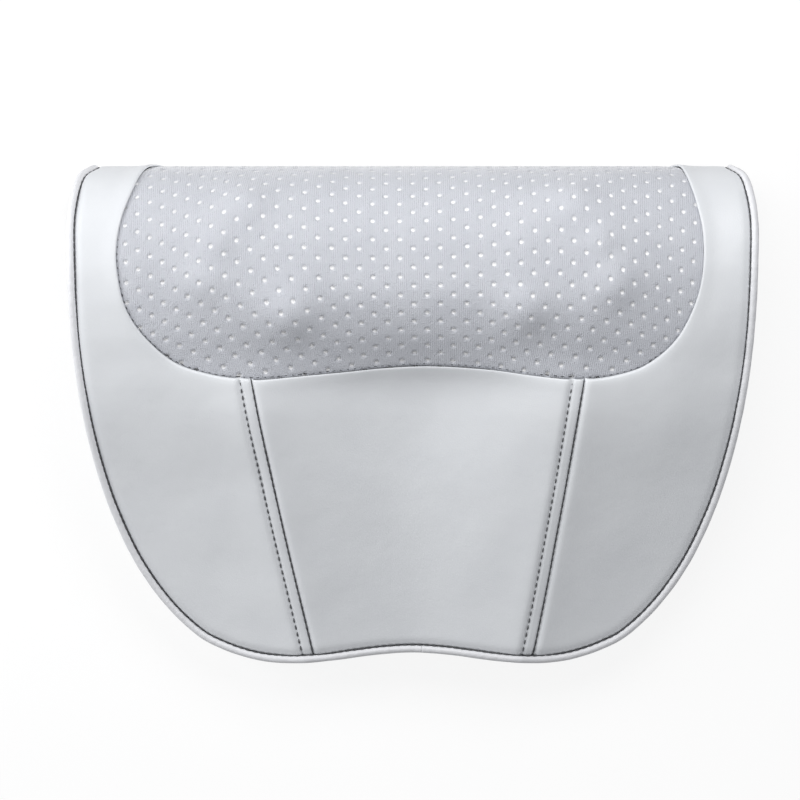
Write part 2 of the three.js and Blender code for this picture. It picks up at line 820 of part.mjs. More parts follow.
const sliderSide = sliderWidth / 2;
const sliderTop = chainBottom + sliderHeight;
const loopTop = sliderTop + loopHeight;
const sliderBody = slab(
  sliderRestX - sliderLength / 2,
  sliderRestX + sliderLength / 2,
  -sliderSide,
  sliderSide,
  chainBottom,
  sliderTop,
);
const sliderChannel = slab(
  sliderRestX - sliderLength,
  sliderRestX + sliderLength,
  -chainWidth / 2 - fitGap,
  chainWidth / 2 + fitGap,
  -fitGap,
  chainTop + fitGap,
);
const loopStart = sliderRestX - loopLength / 2;
const loopEnd = sliderRestX + loopLength / 2;
const sliderLoop = slab(loopStart, loopEnd, -loopWidth / 2, loopWidth / 2, sliderTop - loopBar, loopTop);
const loopHole = slab(
  loopStart + loopBar,
  loopEnd - loopBar,
  -loopWidth,
  loopWidth,
  sliderTop,
  loopTop - loopBar,
);
add('zip_slider', combine(sliderBody, [sliderLoop], [sliderChannel, loopHole]), steel, zipPlace);

// The pull tab lies flat towards the middle and hooks round the loop's bar
const pullPivotX = (loopStart + loopEnd) / 2;
const pullZ = (sliderTop + loopTop - loopBar) / 2;
const pullHalf = pullWidth / 2;
const pullSlot = loopWidth / 2 + fitGap;
const pullBody = slab(
  pullPivotX - pullLength,
  pullPivotX + pullThickness / 2,
  -pullHalf,
  pullHalf,
  pullZ - pullThickness / 2,
  pullZ + pullThickness / 2,
);
const pullEye = slab(
  loopStart - loopBar,
  pullPivotX - pullThickness / 2,
  -pullSlot,
  pullSlot,
  -sliderHeight,
  loopTop,
);
add('zip_pull', combine(pullBody, [], [pullEye]), steel, zipPlace);

// Foam, shaped like the pillow and set back from its cover
function formSolid(depth, sideInset, bottomZ) {
  const corner = cornerPlan(sideInset);
  const lastY = halfHeight - depth;
  const plan = (u, v) => {
    const share = mix(-1, 1, u);
    const sideY = mix(lastY, corner[1], v ** formRowPower);
    const wide = v === 1 ? corner[0] : sidePlan(sideY, sideInset);
    const lowest = bottomPlan(share * corner[0], sideInset);
    return [share * wide, sideY + (lowest - corner[1]) * v ** formFallPower];
  };
  const front = (u, v) => {
    const [x, y] = plan(u, v);
    const at = Math.min(y + depth, halfHeight - probe);
    const z = frontEdgeZ(x, y > rollApexY ? at : y) - depth * formDepthShare;
    return new THREE.Vector3(x, y, Math.max(z, rollMidZ * formLowShare));
  };
  const back = (u, v) => {
    const [x, y] = plan(u, v);
    const at = Math.min(y + depth, halfHeight - probe);
    return new THREE.Vector3(x, y, Math.min(backZ(y > rollApexY ? at : y) + bottomZ, rollMidZ));
  };
  return closeSheet(formColumns, formRows, front, back);
}

const foamDepth = leatherThickness + foamClearance;
const foamForm = combine(
  formSolid(foamDepth, foamSideInset, foamBackZ),
  [],
  [linerSheet(2 * foamClearance, -cutOverrun, linerTop + linerThickness + 2 * foamClearance)],
);
const farX = halfWidth;
const farY = halfHeight;
const leadFrom = new THREE.Vector3(-leadStart, 0, 0).applyMatrix4(inletFrame);
const leadTo = new THREE.Vector3(boardX + leadEndGap, (boardFrontY + boardBackY) / 2, leadRunZ);
const lead = leadShares.map(([across, along, drop]) => new THREE.Vector3(
  mix(leadFrom.x, leadTo.x, across),
  mix(leadFrom.y, leadTo.y, along),
  mix(inletZ, leadRunZ, drop),
));
const channel = tubeAlong(lead, channelRadius, leadSteps, channelSides);
const controlSpace = inFrame(slab(
  -plateDepth - boardThickness - connectorSize[2],
  wallReach,
  -plateHalfLength,
  plateHalfLength,
  -plateHalfHeight,
  plateHalfHeight,
), controlFrame);
const inletSpace = inFrame(slab(
  -inletDepth - inletRadius,
  wallReach,
  -inletRadius - foamClearance,
  inletRadius + foamClearance,
  -inletRadius - foamClearance,
  inletRadius + foamClearance,
), inletFrame);
const lowerRegion = slab(-farX, farX, -farY, bayFrontY, 0, rollApexZ);
const endRegion = slab(bayHalfWidth, farX, bayFrontY + fitGap, farY, 0, rollApexZ);
const foamLower = keepInside(foamForm, lowerRegion);
add('foam_lower', combine(foamLower, [], [channel, controlSpace, inletSpace]), foam);
const foamEnd = keepInside(foamForm, endRegion);
add('foam_right', foamEnd, foam);
add('foam_left', mirrored(foamEnd), foam);
add('foam_back', keepInside(
  foamForm,
  slab(-baseHalfWidth, baseHalfWidth, baseFrontY, baseBackY, 0, padTopZ),
), foam);

// Mechanism base with its bosses, posts and standoffs
const baseTopZ = baseBottomZ + plateThickness;
const coverTopZ = coverBottomZ + plateThickness;
const postPlaces = [[-postX, postFrontY], [postX, postFrontY], [-postX, postBackY], [postX, postBackY]];
const boardZ = baseTopZ + standoffHeight;
const standoffPlaces = [-1, 1].flatMap((side) => [boardFrontY, boardBackY].map((y) => [
  side * (boardX - standoffRadius),
  y + (y === boardFrontY ? standoffRadius : -standoffRadius),
]));
const wormAxisY = rotorY - wheelPitchRadius - wormPitchRadius;
const baseAdded = [
  ...postPlaces.map(([x, y]) => post(postRadius, x, y, baseBottomZ, coverBottomZ - fitGap, smallSides)),
  ...standoffPlaces.map(([x, y]) => post(standoffRadius, x, y, baseBottomZ, boardZ - fitGap, smallSides)),
  ...[-1, 1].map((side) => post(bossRadius, side * rotorX, rotorY, baseBottomZ, baseTopZ + bossHeight)),
];
const baseCuts = [
  ...postPlaces.map(([x, y]) => post(
    screwRadius + screwClearance,
    x,
    y,
    coverBottomZ - screwDepth,
    coverTopZ,
    smallSides,
  )),
  ...[-1, 1].map((side) => post(bushRadius + fitGap, side * rotorX, rotorY, baseTopZ, coverBottomZ)),
];
add('mechanism_base', combine(plate(
  roundedOutline(-baseHalfWidth, baseHalfWidth, baseFrontY, baseBackY, plateCorner),
  baseBottomZ,
  baseTopZ,
), baseAdded, baseCuts), blackPlastic);

// Mechanism cover and its screws
const coverPlate = plate(
  roundedOutline(-baseHalfWidth, baseHalfWidth, baseFrontY, coverBackY, plateCorner),
  coverBottomZ,
  coverTopZ,
);
const coverCuts = [
  ...postPlaces.map(([x, y]) => post(screwRadius + screwClearance, x, y, 0, rollApexZ, smallSides)),
  ...[-1, 1].map((side) => post(bushRadius + fitGap, side * rotorX, rotorY, 0, rollApexZ)),
];
add('mechanism_cover', combine(coverPlate, [], coverCuts), blackPlastic);

postPlaces.forEach(([x, y], i) => add(`cover_screw_${i + 1}`, combine(
  post(screwRadius, x, y, coverBottomZ - screwDepth + fitGap, coverTopZ + screwHeadHeight, smallSides),
  [post(screwHeadRadius, x, y, coverTopZ + fitGap, coverTopZ + screwHeadHeight, smallSides)],
), steel));

// Worm wheel: straight-sided teeth that lean with the worm's lead
const axialPitch = 2 * Math.PI * wheelPitchRadius / toothCount;
const leadSlope = axialPitch / (2 * Math.PI * wormPitchRadius);

function wheelGeometry(hand) {
  const outline = new THREE.Shape();
  const tip = wheelPitchRadius + wheelAddendum;
  const root = wheelPitchRadius - wheelDedendum;
  const half = toothThickness / 2;
  const tipHalf = (half - wheelAddendum * pressureSlope) / tip;
  const rootHalf = (half + wheelDedendum * pressureSlope) / root;
  for (let i = 0; i < toothCount; i += 1) {
    const middle = i / toothCount * 2 * Math.PI;
    [[root, -rootHalf], [tip, -tipHalf], [tip, tipHalf], [root, rootHalf]].forEach(([r, turn], k) => {
      const corner = [r * Math.cos(middle + turn), r * Math.sin(middle + turn)];
      if (i === 0 && k === 0) outline.moveTo(...corner);
      else outline.lineTo(...corner);
    });
  }
  outline.closePath();
  const geometry = new THREE.ExtrudeGeometry(outline, { depth: wheelWidth, steps: 1, bevelEnabled: false });
  geometry.translate(0, 0, -wheelWidth / 2);
  const p = geometry.getAttribute('position');
  const point = new THREE.Vector3();
  const up = new THREE.Vector3(0, 0, 1);
  for (let i = 0; i < p.count; i += 1) {
    point.fromBufferAttribute(p, i);
    point.applyAxisAngle(up, hand * point.z * leadSlope / wheelPitchRadius);
    p.setXYZ(i, point.x, point.y, point.z);
  }
  return geometry;
}

// Worm: one thread wound on a core, with a bore for the drive shaft
function wormGeometry(hand) {
  const tip = wormPitchRadius + wormAddendum;
  const root = wormPitchRadius - wormDedendum;
  const sunk = root - fitGap;
  const half = toothThickness / 2;
  const tipHalf = half - wormAddendum * pressureSlope;
  const rootHalf = half + wormDedendum * pressureSlope;
  const corners = [[sunk, -rootHalf], [tip, -tipHalf], [tip, tipHalf], [sunk, rootHalf]];
  const turns = (wormLength - 2 * rootHalf) / axialPitch;
  const steps = Math.round(turns * wormSteps);
  const positions = [];
  const index = [];
  for (let i = 0; i <= steps; i += 1) {
    const turn = (i / wormSteps - turns / 2) * 2 * Math.PI;
    for (const [r, along] of corners) {
      const x = along + turn / (2 * Math.PI) * axialPitch;
      positions.push(x, r * Math.cos(turn), hand * r * Math.sin(turn));
    }
  }
  const around = corners.length;
  for (let i = 0; i < steps; i += 1) {
    for (let k = 0; k < around; k += 1) {
      const a = i * around + k;
      const b = i * around + (k + 1) % around;
      index.push(a, b, b + around, a, b + around, a + around);
    }
  }
  const end = steps * around;
  index.push(0, 2, 1, 0, 3, 2, end, end + 1, end + 2, end, end + 2, end + 3);
  const thread = tidy(positions, index);
  const core = rod(root, -wormLength / 2, wormLength / 2, 0, 0);
  const bore = rod(driveShaftRadius + fitGap, -wormLength, wormLength, 0, 0, smallSides);
  return combine(core, [thread], [bore]);
}

// Heads, carriers and shafts of one rotor; the right one mirrors the left
const carrierBottomZ = headBaseZ - fitGap - carrierThickness;
const bushBottomZ = baseTopZ + fitGap;
const bushTopZ = baseTopZ + bossHeight + bushFlange + fitGap;
const upperBushTopZ = coverTopZ + bushFlange + fitGap;
const shaftTopZ = carrierBottomZ + carrierHubHeight;

function headGeometry(radius) {
  const profile = headShares.map(([r, z]) => new THREE.Vector2(r * radius, z * headHeight));
  return new THREE.LatheGeometry(profile, headSides).rotateX(Math.PI / 2);
}

function addRotor(side, label) {
  const place = new THREE.Group();
  place.position.set(side * rotorX, rotorY, 0);
  pillow.add(place);
  const bore = post(shaftRadius + fitGap, 0, 0, 0, rollApexZ, roundSides);
  const wheel = wheelGeometry(side).rotateZ(Math.PI / toothCount).translate(0, 0, driveZ);
  const hub = post(
    wheelHubRadius,
    0,
    0,
    driveZ - wheelWidth / 2,
    driveZ + wheelWidth / 2 + wheelHubHeight,
  );
  add(`${label}_worm_wheel`, combine(wheel, [hub], [bore]), whitePlastic, place);
  add(`${label}_rotor_shaft`, post(shaftRadius, 0, 0, bushBottomZ, shaftTopZ), steel, place);
  add(`${label}_lower_bush`, combine(
    post(bushRadius, 0, 0, bushBottomZ, bushTopZ),
    [post(bushFlangeRadius, 0, 0, bushTopZ - bushFlange, bushTopZ)],
    [bore],
  ), brass, place);
  add(`${label}_upper_bush`, combine(
    post(bushRadius, 0, 0, coverBottomZ, upperBushTopZ),
    [post(bushFlangeRadius, 0, 0, upperBushTopZ - bushFlange, upperBushTopZ)],
    [bore],
  ), brass, place);

  const heads = headAngles.map((degrees) => {
    const angle = THREE.MathUtils.degToRad(side < 0 ? degrees : 180 - degrees);
    return { x: headCircle * Math.cos(angle), y: headCircle * Math.sin(angle), angle };
  });
  const arms = heads.map(({ angle }) => slab(
    0,
    headCircle,
    -armWidth / 2,
    armWidth / 2,
    carrierBottomZ,
    carrierBottomZ + carrierThickness,
  ).rotateZ(angle));
  const pads = heads.map(({ x, y }) => post(
    padRadius,
    x,
    y,
    carrierBottomZ,
    carrierBottomZ + carrierThickness,
    roundSides,
  ));
  const carrierHub = post(carrierHubRadius, 0, 0, carrierBottomZ, carrierBottomZ + carrierHubHeight);
  add(`${label}_carrier`, combine(carrierHub, [...arms, ...pads], [bore]), whitePlastic, place);
  heads.forEach(({ x, y }, i) => {
    const big = i === bigHeadIndex;
    const head = add(
      `${label}_head_${i + 1}`,
      headGeometry(big ? bigHeadRadius : smallHeadRadius),
      headPlastic,
      place,
    );
    head.position.set(x, y, headBaseZ);
  });
}
addRotor(-1, 'left');
addRotor(1, 'right');

// Motor, drive shaft, worms and bearings, on one line along X
const drivePlace = new THREE.Group();
drivePlace.position.set(0, wormAxisY, driveZ);
pillow.add(drivePlace);
const motorBore = rod(driveShaftRadius + fitGap, -driveHalfLength, driveHalfLength, 0, 0, smallSides);
const motorBoss = rod(
  motorBossRadius,
  -motorHalfLength - motorBossLength,
  motorHalfLength + motorBossLength,
  0,
  0,
);
add('motor', combine(
  rod(motorRadius, -motorHalfLength, motorHalfLength, 0, 0),
  [motorBoss],
  [motorBore],
), steel, drivePlace);
const driveShaft = rod(driveShaftRadius, -driveHalfLength, driveHalfLength, 0, 0, smallSides);
add('drive_shaft', driveShaft, steel, drivePlace);
for (const [side, label] of [[-1, 'left'], [1, 'right']]) {
  const worm = add(`${label}_worm`, wormGeometry(side), brass, drivePlace);
  worm.position.x = side * rotorX;
  const inner = side * bearingX - bearingLength / 2;
  add(`${label}_shaft_bearing`, combine(
    slab(
      inner,
      inner + bearingLength,
      -bearingWidth / 2,
      bearingWidth / 2,
      baseTopZ + fitGap - driveZ,
      bearingTop,
    ),
    [],
    [motorBore],
  ), whitePlastic, drivePlace);
}

// Strap that holds the motor down on the base
const strapInner = motorRadius + fitGap;
const strapOuter = strapInner + strapThickness;
const strapDrop = driveZ - baseTopZ - fitGap;
const strapOutline = new THREE.Shape();
strapOutline.moveTo(-strapOuter - strapFoot, -strapDrop);
strapOutline.lineTo(-strapInner, -strapDrop);
strapOutline.lineTo(-strapInner, 0);
strapOutline.absarc(0, 0, strapInner, Math.PI, 0, true);
strapOutline.lineTo(strapInner, -strapDrop);
strapOutline.lineTo(strapOuter + strapFoot, -strapDrop);
strapOutline.lineTo(strapOuter + strapFoot, strapFootThickness - strapDrop);
strapOutline.lineTo(strapOuter, strapFootThickness - strapDrop);
strapOutline.lineTo(strapOuter, 0);
strapOutline.absarc(0, 0, strapOuter, 0, Math.PI, false);
strapOutline.lineTo(-strapOuter, strapFootThickness - strapDrop);
strapOutline.lineTo(-strapOuter - strapFoot, strapFootThickness - strapDrop);
const strap = new THREE.ExtrudeGeometry(strapOutline, {
  depth: 2 * strapHalfLength,
  bevelEnabled: false,
  curveSegments: strapSegments,
}).translate(0, 0, -strapHalfLength).rotateX(Math.PI / 2).rotateZ(Math.PI / 2);
add('motor_strap', strap, steel, drivePlace);

// Heater lamps between the rotors
const heatBoardTop = coverTopZ + fitGap + boardThickness;
add('heat_board', slab(
  -heatBoardWidth / 2,
  heatBoardWidth / 2,
  rotorY - heatBoardLength / 2,
  rotorY + heatBoardLength / 2,
  coverTopZ + fitGap,
  heatBoardTop,
), boardGreen);
const lensBottom = heatBoardTop + fitGap;
const lensShares = [[0, 0], [1, 0], [1, 0.3], [0.8, 0.75], [0.4, 0.96], [0, 1]];
const lensProfile = lensShares.map(([r, z]) => new THREE.Vector2(r * lensRadius, z * lensHeight));
for (let i = 0; i < lensCount; i += 1) {
  const lens = add(
    `heat_lens_${i + 1}`,
    new THREE.LatheGeometry(lensProfile, roundSides / 2).rotateX(Math.PI / 2),
    lensRed,
  );
  lens.position.set(0, rotorY + (i - (lensCount - 1) / 2) * lensSpacing, lensBottom);
}

// Control board with its chip, capacitor and connector
const boardTop = boardZ + boardThickness;
const centreY = (boardFrontY + boardBackY) / 2;
const controlParts = [
  slab(-chipSize[0], 0, centreY, centreY + chipSize[1], boardZ, boardTop + chipSize[2]),
  post(canRadius, -boardX / 2, centreY, boardZ, boardTop + canHeight, smallSides),
  slab(
    boardX - connectorSize[0],
    boardX,
    centreY - connectorSize[1] / 2,
    centreY + connectorSize[1] / 2,
    boardZ,
    boardTop + connectorSize[2],
  ),
];
add('control_board', combine(
  slab(-boardX, boardX, boardFrontY, boardBackY, boardZ, boardTop),
  controlParts,
), boardGreen);

// Control plate, its two buttons and their board
const holeEnd = -plateDepth - cutOverrun;
const plateBack = plateProud - plateFlange;
const holes = [-1, 1].flatMap((side) => [
  disc(buttonRadius + fitGap, holeEnd, wallReach, side * buttonSpacing),
  disc(buttonFlangeRadius + fitGap, holeEnd, plateBack, side * buttonSpacing),
]);
const plateBody = combine(
  roundedPlate(plateHalfLength, plateHalfHeight, plateCornerRadius, plateBack, plateProud),
  [roundedPlate(
    plateHalfLength - plateRim,
    plateHalfHeight - plateRim,
    plateCornerRadius - plateRim,
    -plateDepth,
    plateProud - plateFlange / 2,
  )],
  holes,
);
add('control_plate', inFrame(plateBody, controlFrame), blackPlastic);

const buttonTop = plateProud + buttonTravel;
const flangeFace = plateBack - fitGap;
const boardFace = -plateDepth - fitGap;
const stemEnd = boardFace + switchSize[0] + buttonTravel + switchGap;
[[-1, 'power_button'], [1, 'heat_button']].forEach(([side, name]) => {
  const y = side * buttonSpacing;
  const button = combine(
    disc(buttonRadius, flangeFace - buttonFlange, buttonTop, y),
    [
      disc(buttonFlangeRadius, flangeFace - buttonFlange, flangeFace, y),
      disc(stemRadius, stemEnd, flangeFace, y),
    ],
  );
  add(name, inFrame(button, controlFrame), whitePlastic);
});

const switchHalf = switchSize[1] / 2;
const switches = [-1, 1].map((side) => slab(
  boardFace - boardThickness,
  boardFace + switchSize[0],
  side * buttonSpacing - switchHalf,
  side * buttonSpacing + switchHalf,
  -switchHalf,
  switchHalf,
));
const buttonBoard = combine(
  slab(
    boardFace - boardThickness,
    boardFace,
    -plateHalfLength + plateRim,
    plateHalfLength - plateRim,
    -plateHalfHeight + plateRim,
    plateHalfHeight - plateRim,
  ),
  switches,
);
add('button_board', inFrame(buttonBoard, controlFrame), boardGreen);

// Power inlet
const inletFace = inletFlange;
const inletShell = combine(
  disc(inletRadius, -inletDepth, inletFace),
  [disc(inletFlangeRadius, 0, inletFace)],
  [disc(inletBore, -inletDepth + inletFloor, inletFace + cutOverrun)],
);
add('inlet_shell', inFrame(inletShell, inletFrame), blackPlastic);
const pinBase = -inletDepth + inletFloor + fitGap;
add('inlet_pin', inFrame(
  rod(inletPinRadius, pinBase, pinBase + inletPinLength, 0, 0, smallSides),
  inletFrame,
), steel);

// Lead inside the pillow, from the inlet to the control board
add('inlet_lead', tubeAlong(lead, leadRadius, leadSteps, leadSides), blackPlastic);

pillow.updateMatrixWorld(true);

export default pillow;
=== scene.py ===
import math

import bpy
import numpy as np
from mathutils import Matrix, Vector


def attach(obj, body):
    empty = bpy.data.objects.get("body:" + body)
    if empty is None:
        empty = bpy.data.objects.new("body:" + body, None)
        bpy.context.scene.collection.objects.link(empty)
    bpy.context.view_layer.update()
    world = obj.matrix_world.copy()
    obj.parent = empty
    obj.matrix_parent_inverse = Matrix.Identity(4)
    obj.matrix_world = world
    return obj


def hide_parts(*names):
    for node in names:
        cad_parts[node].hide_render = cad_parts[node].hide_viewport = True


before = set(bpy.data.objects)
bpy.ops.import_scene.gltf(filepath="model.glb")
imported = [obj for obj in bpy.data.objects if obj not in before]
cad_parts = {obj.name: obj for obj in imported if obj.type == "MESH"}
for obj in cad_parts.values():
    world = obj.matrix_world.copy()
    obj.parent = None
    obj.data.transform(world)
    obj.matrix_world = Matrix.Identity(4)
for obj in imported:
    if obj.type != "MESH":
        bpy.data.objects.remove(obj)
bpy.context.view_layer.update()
print("frame loaded")

# Form of the pillow, the same as the solids': every cover piece is cut from this surface. Its edges and its
# front are tables of shares, read along the height or the width
form = {
    "halfWidth": 0.1902,
    "halfHeight": 0.1373,
    "rollDepth": 0.0523,
    "apexHeight": 0.102,
    "midHeight": 0.05,
    "fullness": 2.4,
    "panelFall": 1.5,
    "seamBottom": (0.061, -0.131),
    "seamTop": (0.0915, 0.0204),
    "sideEdge": [
        (-0.903, 0.61), (-0.82, 0.682), (-0.64, 0.786), (-0.4, 0.873), (-0.16, 0.93), (0.08, 0.967),
        (0.32, 0.989), (0.62, 1), (0.84, 0.998), (0.932, 0.985), (0.975, 0.972), (1, 0.956),
    ],
    "bottomEdge": [
        (-0.095, -0.964), (0, -0.956), (0.095, -0.964), (0.17, -0.977), (0.24, -0.99), (0.345, -1),
        (0.44, -0.99), (0.51, -0.965), (0.56, -0.938), (0.61, -0.903), (0.682, -0.82), (0.73, -0.75),
    ],
    "front": [
        (-4.25, 0.297, 0.348, 0.267), (-3.83, 0.33, 0.388, 0.285), (-3.15, 0.404, 0.477, 0.36),
        (-2.39, 0.495, 0.605, 0.492), (-1.63, 0.592, 0.742, 0.676), (-1.34, 0.648, 0.778, 0.736),
        (-1.05, 0.752, 0.828, 0.785), (-0.76, 0.88, 0.91, 0.84), (-0.39, 0.98, 0.98, 0.9),
        (0, 1, 1, 0.93), (0.39, 0.98, 0.98, 0.9),
    ],
    "lateral": [(-1, 0.6), (-0.82, 0.7), (-0.64, 0.786), (-0.4, 0.873), (0.08, 0.967), (0.62, 1)],
    "cornerShare": -0.82,
    "topRound": 0.0045,
    "roundFrom": 0.975,
}
apexY = form["halfHeight"] - form["rollDepth"]
probe = 0.0005  # half the step that slopes and normals are measured over


# Smooth curve through a table's points: a cubic between each two, with the mean of the neighbouring slopes
def follow(table, at, column=1):
    table = np.asarray(table, float)
    xs = table[:, 0]
    ys = table[:, column]
    secant = np.diff(ys) / np.diff(xs)
    slope = np.concatenate([secant[:1], (secant[1:] + secant[:-1]) / 2, secant[-1:]])
    i = np.searchsorted(xs[1:-1], at)
    span = xs[i + 1] - xs[i]
    t = np.clip((at - xs[i]) / span, 0, 1)
    bend = slope[i] * t * (1 - t) ** 2 - slope[i + 1] * t * t * (1 - t)
    return ys[i] + (ys[i + 1] - ys[i]) * t * t * (3 - 2 * t) + bend * span


# Slope of a curve: its rise between two near points, over the step between them
def slopeOf(curve, at):
    return (curve(at + probe) - curve(at - probe)) / (2 * probe)


# Half width of the outline: the side edge's table, read by the share of the height
def edgeX(y):
    return form["halfWidth"] * follow(form["sideEdge"], y / form["halfHeight"])


# Lower outline: the bottom edge's table, read by the share of the width
def bottomY(x):
    return form["halfHeight"] * follow(form["bottomEdge"], np.abs(x) / form["halfWidth"])


# Ridge of the front: a straight line up the panels, near the seams
def seamX(y):
    (x0, y0), (x1, y1) = form["seamBottom"], form["seamTop"]
    return x0 + (y - y0) * (x1 - x0) / (y1 - y0)


# Height of the front: a smooth step from the centre line to the seam, then a fall to the side edge
def frontZ(x, y):
    x, y = np.broadcast_arrays(np.asarray(x, float), np.asarray(y, float))
    at = (y - apexY) / form["rollDepth"]
    centre, ridge, edge = (form["apexHeight"] * follow(form["front"], at, k) for k in (1, 2, 3))
    seam = seamX(y)
    inner = np.clip(np.abs(x) / seam, 0, 1)
    reach = form["halfWidth"] * follow(form["lateral"], y / form["halfHeight"])
    outer = np.clip((np.abs(x) - seam) / (reach - seam), 0, 1)
    middle = centre + (ridge - centre) * inner * inner * (3 - 2 * inner)
    side = edge + (ridge - edge) * (1 - outer) ** form["panelFall"]
    return np.where(np.abs(x) < seam, middle, side)


# Roll section: a superellipse, so it is fuller than an ellipse, read by the angle from its apex
def rollPoint(x, angle):
    x, angle = np.broadcast_arrays(np.asarray(x, float), np.asarray(angle, float))
    mid = form["midHeight"]
    top = np.where(angle < math.pi / 2, frontZ(x, apexY) - mid, mid)
    n = form["fullness"]
    across = np.abs(np.sin(angle) / form["rollDepth"]) ** n
    reach = (across + np.abs(np.cos(angle) / top) ** n) ** (-1 / n)
    return np.stack([x, apexY + reach * np.sin(angle), mid + reach * np.cos(angle)], -1)


# Run of an angle on the roll: the apex line's run and the angle times the roll's depth
def runAt(angle):
    return apexY + angle * form["rollDepth"]


# The front as a pattern sheet: x across, run along it, up from the bottom edge and over the roll
def sheetPoint(x, run):
    x, run = np.broadcast_arrays(np.asarray(x, float), np.asarray(run, float))
    flat = np.stack([x, run, frontZ(x, run)], -1)
    turned = rollPoint(x, (run - apexY) / form["rollDepth"])
    return np.where((run <= apexY)[..., None], flat, turned)


# Normal of the sheet: the cross product of a small step across it and one along it
def sheetNormal(x, run):
    across = sheetPoint(x + probe, run) - sheetPoint(x - probe, run)
    along = sheetPoint(x, run + probe) - sheetPoint(x, run - probe)
    normal = np.cross(across, along)
    return normal / np.linalg.norm(normal, axis=-1, keepdims=True)


# Point above the sheet: moved along the normal by the lift
def sheetAt(x, run, lift):
    return sheetPoint(x, run) + sheetNormal(x, run) * np.asarray(lift)[..., None]


# Height in plan of a run: the run itself up to the apex line, then the roll's own y
def planY(run):
    return np.where(run <= apexY, run, rollPoint(np.zeros_like(run), (run - apexY) / form["rollDepth"])[..., 1])


# Rounding of the outline at the roll's two ends: a square rise over the last part of the height
def topRounding(y):
    share = np.clip((y / form["halfHeight"] - form["roundFrom"]) / (1 - form["roundFrom"]), 0, 1)
    return form["topRound"] * share * share


# Side edge in plan, moved in by its rounding and by an inset measured square to it
def sidePlan(y, inset):
    return edgeX(y) - topRounding(y) - inset * np.hypot(1, slopeOf(edgeX, y))


# Bottom edge in plan, moved up by an inset measured square to it
def bottomPlan(x, inset):
    return bottomY(x) + inset * np.hypot(1, slopeOf(bottomY, x))


# Corner of the two edges: a point of the side edge, moved in along its normal
def cornerPlan(inset):
    y = form["cornerShare"] * form["halfHeight"]
    slope = slopeOf(edgeX, y)
    unit = np.hypot(1, slope)
    return np.array([edgeX(y) - inset / unit, y + inset * slope / unit])


# Share of the roll's depth at a height in plan, raised to the superellipse's power
def rollShare(y):
    return np.clip((y - apexY) / form["rollDepth"], 0, 1) ** form["fullness"]


# Rear height of the outline: none on the flat, then a quarter superellipse up to the roll's middle
def backZ(y):
    return form["midHeight"] * (1 - (1 - rollShare(y)) ** (1 / form["fullness"]))


# Front height of the outline: the front's own, then a quarter superellipse down to the roll's middle
def frontEdgeZ(x, y):
    top = frontZ(x, apexY) - form["midHeight"]
    rolled = form["midHeight"] + top * (1 - rollShare(y)) ** (1 / form["fullness"])
    return np.where(y <= apexY, frontZ(x, y), rolled)


# Curves. Mix of two values by a share
def lerp(a, b, t):
    return a + (b - a) * t


# Bell curve: 1 at no distance, falling off with the square of the distance over the width
def bell(distance, width):
    return np.exp(-(distance / width) ** 2)


# Soft switch: 1 well below a limit, a half at it and 0 well above it
def below(value, limit, width):
    return 1 / (1 + np.exp((value - limit) / width))


# Fall of a rolled edge: a quarter circle from the edge inwards
def rolledEdge(distance, radius):
    t = np.clip(1 - distance / radius, 0, 1)
    return -radius * (1 - np.sqrt(1 - t * t))


# Length from the first point to each point of a path: the running sum of its steps
def lengthsAlong(points):
    return np.concatenate([[0], np.cumsum(np.linalg.norm(np.diff(points, axis=0), axis=1))])


# Points at shares of a path's length, read straight between its own points
def resample(points, shares):
    points = np.asarray(points, float)
    length = lengthsAlong(points)
    at = np.asarray(shares) * length[-1]
    return np.stack([np.interp(at, length, points[:, k]) for k in range(points.shape[1])], -1)


# Rounds the bends of a path or grid: each inner point becomes the mean of itself and its two neighbours
def settle(values, times):
    for _ in range(times):
        values[1:-1] = (values[:-2] + 2 * values[1:-1] + values[2:]) / 4


# Smooth curve through a few points: each span is a Catmull-Rom cubic
def smoothPath(points, perSpan):
    points = np.asarray(points, float)
    padded = np.vstack([2 * points[0] - points[1], points, 2 * points[-1] - points[-2]])
    t = np.linspace(0, 1, perSpan, endpoint=False)[None, :, None]
    a, b, c, d = (padded[k:len(padded) - 3 + k, None, :] for k in range(4))
    bend = (2 * a - 5 * b + 4 * c - d) * t ** 2 + (3 * b - a - 3 * c + d) * t ** 3
    curve = 0.5 * (2 * b + (c - a) * t + bend)
    return np.vstack([curve.reshape(-1, points.shape[1]), points[-1:]])


# Unit vectors along a path, from the points on either side
def pathTangents(points):
    step = np.gradient(points, axis=0)
    return step / np.linalg.norm(step, axis=1, keepdims=True)


# Distance from each point to a curve, measured square to its nearest point, and that point's number
def nearest(points, curve, block=4000):
    flat = np.asarray(points, float).reshape(-1, 2)
    which = np.empty(len(flat), int)
    for start in range(0, len(flat), block):
        gap = flat[start:start + block, None] - curve[None]
        which[start:start + block] = (gap ** 2).sum(-1).argmin(1)
    tangent = pathTangents(curve)[which]
    reach = flat - curve[which]
    half = np.linalg.norm(np.diff(curve, axis=0), axis=1).max() / 2
    along = np.clip((reach * tangent).sum(-1), -half, half)
    best = np.linalg.norm(reach - along[:, None] * tangent, axis=1)
    shape = np.asarray(points).shape[:-1]
    return best.reshape(shape), which.reshape(shape)


# Fixed ripple: a few sine waves with set directions and phases, about 1 at most
def ripple(a, b, wavelength, seed, waves=7):
    rng = np.random.default_rng(seed)
    total = np.zeros(np.broadcast(a, b).shape)
    for _ in range(waves):
        angle, phase, stretch = rng.uniform(0, 2 * math.pi, 2).tolist() + [rng.uniform(0.7, 1.5)]
        k = 2 * math.pi * stretch / wavelength
        total += np.sin(k * (a * math.cos(angle) + b * math.sin(angle)) + phase)
    return total / math.sqrt(waves * 2)


